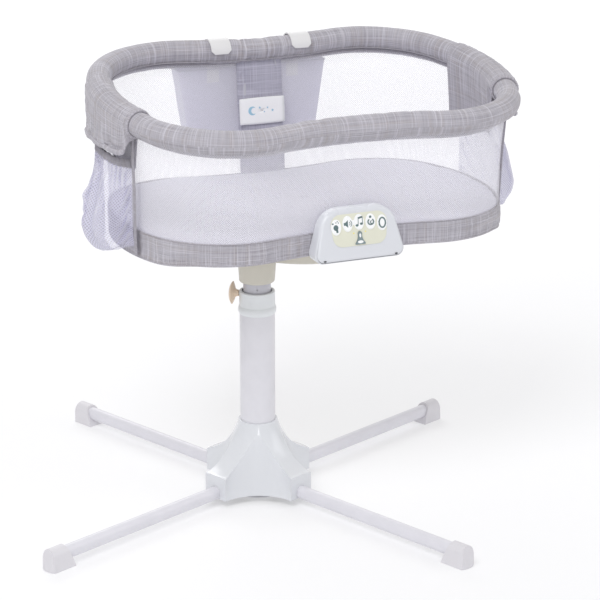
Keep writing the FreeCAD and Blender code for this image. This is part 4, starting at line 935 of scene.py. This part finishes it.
def roundedPatch(halfWidth, halfHeight, corner, rings=6, around=96):
    # rings of a rounded rectangle that shrink to its middle
    turn = np.linspace(0, 2 * math.pi, around, endpoint=False)
    cosA, sinA = np.cos(turn), np.sin(turn)
    x = np.clip(cosA * halfWidth * 1.5, -(halfWidth - corner), halfWidth - corner) + corner * cosA
    z = np.clip(sinA * halfHeight * 1.9, -(halfHeight - corner), halfHeight - corner) + corner * sinA
    scale = np.linspace(1, 0.02, rings)[:, None]
    return x[None] * scale, z[None] * scale


labelX, labelZ = roundedPatch(label["halfWidth"], (label["high"] - label["low"]) / 2, label["corner"])
labelMiddle = (label["high"] + label["low"]) / 2
labelGrid = labelPoint(labelX, labelZ + labelMiddle, label["lift"] + 0.5)
labelPiece = surface("rear_label", labelGrid, closedV=True, flip=False)
print("post sleeve and label done")


def flatShape(name, loops, toSpace, lift=0.12):
    # thin printed shapes: each loop of (x, y) becomes a closed slab
    points, faces = [], []
    for loop in loops:
        loop = np.asarray(loop, float)
        count = len(loop)
        start = len(points)
        points += toSpace(loop[:, 0], loop[:, 1], lift).tolist() + toSpace(loop[:, 0], loop[:, 1],
                                                                           -lift).tolist()
        faces.append([start + k for k in range(count)])
        faces.append([start + count + k for k in reversed(range(count))])
        faces += [[start + k, start + count + k, start + count + (k + 1) % count, start + (k + 1) % count]
                  for k in range(count)]
    mesh = bpy.data.meshes.new(name)
    mesh.from_pydata(((np.array(points) + basketCentre) / 1000).tolist(), [], faces)
    mesh.update()
    piece = bpy.data.objects.new(name, mesh)
    bpy.context.scene.collection.objects.link(piece)
    return piece


def disc(x, y, radiusX, radiusY=None, sides=28):
    turn = np.linspace(0, 2 * math.pi, sides, endpoint=False)
    return np.stack([x + radiusX * np.cos(turn), y + (radiusY or radiusX) * np.sin(turn)], 1)


def stroke(points, width):
    # a band of even width along an open line of points
    points = np.asarray(points, float)
    ahead = np.gradient(points, axis=0)
    ahead /= np.linalg.norm(ahead, axis=1)[:, None]
    side = np.stack([-ahead[:, 1], ahead[:, 0]], 1) * width / 2
    return np.concatenate([points + side, (points - side)[::-1]])[::-1]


def arcLine(x, y, radius, fromDegrees, toDegrees, squash=1.0, count=20):
    turn = np.radians(np.linspace(fromDegrees, toDegrees, count))
    return np.stack([x + radius * np.cos(turn), y + radius * squash * np.sin(turn)], 1)


def moonLoop(x, y, radius):
    outside = arcLine(x, y, radius, 39, 321)
    inside = arcLine(x + radius * 0.42, y, radius * 0.72, 298, 62)
    return np.concatenate([outside, inside])


def starLoop(x, y, radius):
    turn = np.radians(np.arange(10) * 36 + 90)
    reach = np.where(np.arange(10) % 2 == 0, radius, radius * 0.45)
    return np.stack([x + reach * np.cos(turn), y + reach * np.sin(turn)], 1)


labelInk = mouldedPlastic("pale_blue_label_thread", "#9DC3DA", 0.7, strength=0.0)
stitchInk = mouldedPlastic("white_sewing_thread", "#F3F3F6", 0.7, strength=0.0)
labelCloth = weaveCloth("woven_satin_label", "#EDEDF0", "#F8F8FA", pitch=1.6)


def toLabel(x, y, lift):
    return labelPoint(x, y + labelMiddle, label["lift"] + 1.0 + lift)


labelLoops = [moonLoop(-24, 1, 10), starLoop(-6, 7, 3.4), starLoop(5, -3, 2.4), starLoop(13, 6, 2.9),
              starLoop(25, -1, 3.8)]
labelMotif = flatShape("rear_label_motif", labelLoops, toLabel)
stitchX = np.linspace(-48, 48, 33)
labelStitches = flatShape("rear_label_stitches",
                          [stroke(np.stack([np.array([x, x + 1.8]), np.full(2, y)], 1), 0.7)
                                                  for x in stitchX for y in (-27.5, 27.5)], toLabel)

# ---- caddy hung outside the rear wall ----
caddy = {"halfWidth": 180, "front": 300.5, "depth": 68, "top": 857, "bottom": 701, "corner": 24,
         "frontCorner": 5}


def roundedBox(share, halfWidth, front, back, corner, frontCorner):
    # rounded rectangle in plan by share of its girth, anticlockwise from the front left corner
    middle = (front + back) / 2
    turn = share * 2 * math.pi - 3 * math.pi / 4
    cosA, sinA = np.cos(turn), np.sin(turn)
    reach = 1 / np.maximum(np.abs(cosA), np.abs(sinA))
    x, y = cosA * reach, sinA * reach
    halfDepth = (back - front) / 2
    squareX, squareY = x * halfWidth, y * halfDepth
    round_ = np.where(y > 0, corner, frontCorner)
    insetX = np.clip(squareX, -(halfWidth - round_), halfWidth - round_)
    insetY = np.clip(squareY, -(halfDepth - round_), halfDepth - round_)
    gap = np.stack([squareX - insetX, squareY - insetY], -1)
    far = np.maximum(np.linalg.norm(gap, axis=-1, keepdims=True), 1e-6)
    snapped = np.stack([insetX, insetY], -1) + gap / far * np.minimum(far, round_[..., None])
    return snapped[..., 0], snapped[..., 1] + middle


def caddyGrid():
    # upright walls that taper and belly a little, then a floor that closes to the middle
    share = np.linspace(0, 1, 220, endpoint=False)
    t = np.linspace(0, 1, 34)
    s, v = np.meshgrid(share, t, indexing="ij")
    taper = 1 - 0.13 * v
    x, y = roundedBox(s, caddy["halfWidth"] * taper, caddy["front"],
                      caddy["front"] + caddy["depth"] * (1 - 0.06 * v),
                      caddy["corner"], caddy["frontCorner"])
    outwardY = np.clip((y - caddy["front"] - 8) / 20, 0, 1)
    y = y + outwardY * 3.5 * np.sin(math.pi * v) * ripple(s * 5, v, 71, ((1, 1), (2, 0.4)))
    z = caddy["top"] + (caddy["bottom"] - caddy["top"]) * v
    walls = np.stack([x, y, z], -1)
    closing = np.linspace(1, 0.02, 8)[1:]
    floorMiddle = np.array([0, caddy["front"] + caddy["depth"] / 2, caddy["bottom"]])
    base = walls[:, -1:]
    floorRows = floorMiddle + (base - floorMiddle) * closing[None, :, None]
    return np.concatenate([walls, floorRows], 1)


caddyPiece = surface("caddy_bag", caddyGrid(), closedU=True, flip=True)
thicken(caddyPiece, 1.6, offset=-1)
edgeShare = np.linspace(0, 1, 260, endpoint=False)
edgeX, edgeY = roundedBox(edgeShare, caddy["halfWidth"], caddy["front"], caddy["front"] + caddy["depth"],
                          caddy["corner"], caddy["frontCorner"])
caddyEdge = tube("caddy_edge_binding",
                 np.stack([edgeX, edgeY + 0.6, np.full(len(edgeX), caddy["top"])], -1), 2.6,
                 sides=10, closed=True)
print("caddy done")

# ---- bindings at the ends of the front net ----
endBindings = []
for side, word in ((1, "right"), (-1, "left")):
    t = np.linspace(0, 1, 40)
    path = np.stack([side * (416.5 + 9.0 * t + 0.6 * np.sin(t * 9)), -101 - 16 * t, 566 + 282 * t], -1)
    turn = np.linspace(0, 2 * math.pi, 12, endpoint=False)
    section = np.stack([side * 2.0 * np.cos(turn), 7.5 * np.sin(turn), 0 * turn], -1)
    outward = np.array([side * 6.5, -1.5, 0])
    endBindings.append(surface("end_binding_" + word, path[:, None] + section[None] + outward,
                               closedV=True, caps=True,
                               flip=side > 0))
print("bindings done")

# ---- prints on the pod ----
podFace = {"tilt": math.radians(11.9), "height": 622, "lowDepth": 44, "bottom": 561, "keyProud": 2.6,
           "keyPitch": 26, "keyArc": 210, "keyRow": 20}
podBackY = (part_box("pod_back")[1].y * 1000) - basketCentre[1]
faceY = podBackY - (podFace["lowDepth"] - (podFace["height"] - podFace["bottom"]) * math.tan(podFace["tilt"]))


def toFace(x, y, lift):
    # a point on the leaning face: x across it, y up it, lift out of it
    along = np.array([0, math.sin(podFace["tilt"]), math.cos(podFace["tilt"])])
    outwards = np.array([0, -math.cos(podFace["tilt"]), math.sin(podFace["tilt"])])
    x, y = np.asarray(x, float), np.asarray(y, float)
    flat = np.stack([x, np.zeros_like(x), np.zeros_like(x)], -1)
    return flat + y[..., None] * along + lift * outwards + np.array([0, faceY, podFace["height"]])


def keyCentre(index):
    x = (index - 2) * podFace["keyPitch"]
    return x, podFace["keyRow"] - (podFace["keyArc"] - math.sqrt(podFace["keyArc"] ** 2 - x ** 2))


def onKey(index, lift=podFace["keyProud"] + 0.08, size=1.3):
    centreX, centreY = keyCentre(index)
    return lambda x, y, thick: toFace(np.asarray(x) * size + centreX,
                                      np.asarray(y) * size + centreY, lift + thick)


iconLoops = [
    [disc(-1, -0.5, 4.2, 4.6), stroke([(0.4, -3), (1.2, -8.5)], 3.4), disc(-6, 6.2, 1.7, 1.2),
     disc(-0.5, 7.6, 0.9),
     disc(2.0, 9.3, 0.9), disc(3.8, 7.0, 0.9)],
    [[(-7, -2.2), (-4.2, -2.2), (0.2, -6), (0.2, 6), (-4.2, 2.2), (-7, 2.2)],
     stroke(arcLine(0.5, 0, 3.4, -50, 50), 1.1),
     stroke(arcLine(0.5, 0, 6.2, -50, 50), 1.1)],
    [disc(-4.3, -5.2, 2.6, 1.9), disc(3.6, -3.2, 2.6, 1.9), stroke([(-2.2, -5), (-1.6, 6.2)], 1.1),
     stroke([(5.6, -3), (5.6, 8.2)], 1.1), stroke([(-2.1, 6.0), (5.9, 7.8)], 3.0)],
    [disc(-0.4, 7.4, 2.1), stroke(arcLine(0, -0.6, 4.9, 120, 415, 0.9, 30), 2.3),
     stroke(arcLine(1.0, -1.2, 1.9, 60, 300), 1.4)],
    [stroke(arcLine(0, 0, 5.4, 0, 360, 1.45, 40), 2.4), [(-7.6, 2), (-5, 1), (-5, 3)],
     [(7.6, -2), (5, -1), (5, -3)],
     [(-7.4, -3.4), (-5, -3.6), (-4.6, -1.8)], [(7.4, 3.4), (5, 3.6), (4.6, 1.8)]],
]
iconPieces = [flatShape("key_icon_%d" % (index + 1), [np.asarray(loop, float) for loop in loops],
                        onKey(index))
              for index, loops in enumerate(iconLoops)]
glow = [disc(0, -8.5 - 13, 6.4, 3.0), disc(0, -8.2, 2.1, 4.2)]
lampMarks = flatShape("lamp_key_marks", glow,
                      lambda x, y, lift: toFace(x, y, podFace["keyProud"] + 0.08 + lift))
dotMarks = flatShape("pod_guide_dots", [disc(-13.5, -2.5, 1.6), disc(13, -1.0, 1.6)],
                     lambda x, y, lift: toFace(x, y, 0.86 + lift))
bridgeMark = flatShape("pod_key_bridge", [[(-18, 15), (-8, 15), (-8, 25), (-18, 25)]],
                       lambda x, y, lift: toFace(x, y, 0.84 + lift))
ovalPrints = [flatShape("key_oval_%d" % (index + 1), [disc(0, 0, 11.4, 16.6, 48)], onKey(index, 0.86, 1.0))
              for index in range(5)]
# dark flat ovals stand in for the shade inside the two screw notches low on the face: painted shade
screwNotchShade = flatShape("pod_screw_notch_shade", [disc(-82, -54.5, 3.2, 1.7), disc(80, -54.5, 3.2, 1.7)],
                      lambda x, y, lift: toFace(x, y, 0.2 + lift), 0.4)
print("pod prints done")

settle()
print("cloth settled")

# ---- what each piece is, stands for and moves with ----
for piece, node, body in ((rearPad, "rear_rail_pad", "basket"), (frontPad, "front_rail_pad", "front_wall")):
    soften(piece)
    dress(piece, heather)
    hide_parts(node)
    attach(piece, body)
for piece in rearPipings:
    dress(piece, heatherHem)
    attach(piece, "basket")
for piece in frontPipings:
    dress(piece, heatherHem)
    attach(piece, "front_wall")
dress(mattressPiece, sheetJersey)
soften(mattressPiece)
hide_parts("mattress")
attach(mattressPiece, "basket")


def clothArea(piece):
    # area of the mesh in square metres
    sizes = np.empty(len(piece.data.polygons))
    piece.data.polygons.foreach_get("area", sizes)
    return float(sizes.sum())


def asSheet(piece, length, thickness=None):
    # prints the sheet's width, its area over its length, with that length, and thickens it when a thickness
    # is given
    area = clothArea(piece)
    print("  sheet", piece.name, round(area / length, 3), "x", round(length, 3))
    if thickness:
        thicken(piece, thickness, offset=0)


dress(bandPiece, heather)
asSheet(bandPiece, girth / 1000, 1.2)
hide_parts("fabric_band")
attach(bandPiece, "basket")
for piece in (topPiping, lowPiping):
    dress(piece, heather)
    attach(piece, "basket")

dress(sideWall, net)
asSheet(sideWall, (0.5 - 2 * frontShare) * girth / 1000)
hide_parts("mesh_wall_rear", "mesh_wall_ends")
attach(sideWall, "basket")
dress(frontNet, net)
asSheet(frontNet, (0.5 + 2 * frontShare) * girth / 1000)
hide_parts("mesh_wall_front_lower", "mesh_wall_front_upper")
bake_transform(frontNet)
dress(rearHem, heather)
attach(rearHem, "basket")
dress(frontHem, heather)
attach(frontHem, "front_wall")

for piece, hem, mouth, node in zip(coverPieces, flapHems, mouthEdges, ("end_cover_right", "end_cover_left")):
    dress(piece, heather)
    asSheet(piece, 0.245, 1.3)
    bake(piece)
    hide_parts(node, "hinge_cuffs")
    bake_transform(piece)
    for trim in (hem, mouth):
        dress(trim, heather)
        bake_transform(trim)

for (piece, shape), hem, node in zip(pocketPieces, pocketHems, ("pocket_right", "pocket_left")):
    markFoldDensityAndShade(piece, shape, 0.22, 0.22)
    dress(piece, pocketNet)
    asSheet(piece, 0.26, None)
    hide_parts(node)
    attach(piece, "basket")
    dress(hem, heatherHem)
    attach(hem, "basket")

dress(stripPiece, heatherStrip)
soften(stripPiece)
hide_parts("post_cover")
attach(stripPiece, "basket")
dress(labelPiece, labelCloth)
asSheet(labelPiece, 0.11, 0.6)
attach(labelPiece, "basket")
dress(labelMotif, labelInk)
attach(labelMotif, "basket")
dress(labelStitches, stitchInk)
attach(labelStitches, "basket")

dress(caddyPiece, caddyWeave)
clothArea(caddyPiece) / 0.45
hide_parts("caddy")
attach(caddyPiece, "basket")
dress(caddyEdge, binding)
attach(caddyEdge, "basket")
for piece in endBindings:
    dress(piece, heatherHem)
    bake(piece)
    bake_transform(piece)

for index, piece in enumerate(iconPieces):
    dress(piece, iconInk)
    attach(piece, "button_%d" % (index + 1))
dress(lampMarks, keyRubber)
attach(lampMarks, "light_button")
dress(dotMarks, dotYellow)
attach(dotMarks, "basket")
dress(bridgeMark, keyRubber)
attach(bridgeMark, "basket")
for piece in ovalPrints:
    dress(piece, keyRubber)
    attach(piece, "basket")
# the black plastic here is painted shade in the screw notches
dress(screwNotchShade, darkPlastic)
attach(screwNotchShade, "basket")

print("done")
